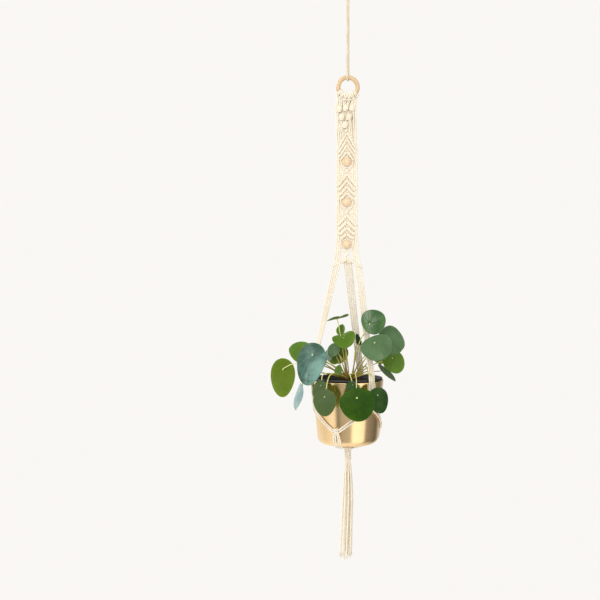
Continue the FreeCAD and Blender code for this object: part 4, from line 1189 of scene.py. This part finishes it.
def stage():
    """A pale floor that fades out into the pale surroundings, far below the planter."""
    segments = 64
    shape = Shape().lathe([(radius, FLOOR_Z / MM) for radius in (0.01, 2500, 6000)], segments)
    m = new_material("pale_floor")
    distance = m.add("VectorMath", [(0, m.coordinates((1, 1, 0)))], operation="LENGTH").outputs["Value"]
    alpha = m.ramp(m.math("DIVIDE", distance, 2.0), [(0.2, 1.0), (0.95, 0.0)])
    floor = add_object("floor", bpy.data.meshes.new("floor"))
    floor.data.from_pydata(shape.vertices, [], shape.faces[:2 * segments])
    floor.data.materials.append(m.finish(Base_Color=(0.90, 0.885, 0.86, 1), Roughness=0.9, Alpha=alpha))


# What surrounds the planter for light and reflections, by the turn from the front to the right in
# degrees: soft panels with darker gaps between them, which give spun brass its upright bands.
SURROUNDINGS = [(-180, 0.95), (-128, 1.0), (-95, 0.9), (-47, 1.2), (-40, 0.16), (-31, 0.2), (-26, 0.5),
                (12, 0.58), (17, 1.55), (62, 1.45), (69, 0.34), (104, 0.24), (125, 0.14), (160, 0.7),
                (180, 0.95)]


def world():
    """A pale backdrop, lit by panels round the planter and from overhead."""
    sky = bpy.data.worlds.new("studio")
    bpy.context.scene.world = sky
    w = Nodes(sky)
    x, y, z = w.parts(w.add("TexCoord").outputs["Generated"])
    turn = w.math("ARCTAN2", x, w.times(y, -1.0))
    share = w.add("Math", [(0, turn), (1, 1 / (2 * math.pi)), (2, 0.5)], operation="MULTIPLY_ADD").outputs[0]
    panels = w.ramp(share, [(0.5 + degrees / 360, (level, level * 0.985, level * 0.96))
                            for degrees, level in SURROUNDINGS])
    height = w.add("MapRange", [(0, z), (1, 0.25), (2, 0.75)]).outputs[0]
    lit = w.add("Background", [(0, w.mix(height, panels, (0.9, 0.9, 0.9)))]).outputs[0]
    backdrop = w.add("Background", [(0, (0.955, 0.935, 0.905, 1))]).outputs[0]
    camera_ray = w.add("LightPath").outputs["Is Camera Ray"]
    surface = w.add("MixShader", [(0, camera_ray), (1, lit), (2, backdrop)]).outputs[0]
    w.set(w.tree.nodes["World Output"].inputs["Surface"], surface)


def area_light(name, place, target, size, energy, colour):
    light = bpy.data.lights.new(name, "AREA")
    light.shape = "RECTANGLE"
    light.size, light.size_y = size
    light.energy, light.color = energy, colour
    obj = add_object(name, light)
    obj.location = place
    obj.rotation_euler = (Vector(target) - Vector(place)).to_track_quat("-Z", "Y").to_euler()
    obj.visible_camera = False


def lights():
    target = (0, 0, -0.75)
    area_light("key", (-1.7, -4.1, 1.1), target, (2.6, 2.2), 100, (1.0, 0.985, 0.955))
    area_light("rim", (-2.6, 2.2, 1.4), target, (1.6, 1.6), 60, (1.0, 0.99, 0.97))


def camera():
    data = bpy.data.cameras.new("camera")
    data.lens, data.sensor_width = 50, 36
    data.shift_x, data.shift_y = -0.0797, -0.0167
    data.clip_start, data.clip_end = 0.05, 60
    obj = add_object("camera", data)
    obj.location = (0, -1.75, -0.701)
    obj.rotation_euler = (math.radians(90), 0, 0)
    bpy.context.scene.camera = obj


hook_and_hanging_cord()
paint("wood_ring", RING_WOOD)
larks_heads()
berry_knots()
ring_cords()
for panel_number, panel_row in enumerate(PANELS, start=1):
    leaf_panel(panel_number, panel_row)
shoulder_cords()
side_cords()
wings()
legs_and_cradle()
cradle_knots()
wrap_and_tassel()
brass_pot()
plant()
stage()
world()
lights()
camera()
bpy.context.scene.view_settings.view_transform = "Standard"
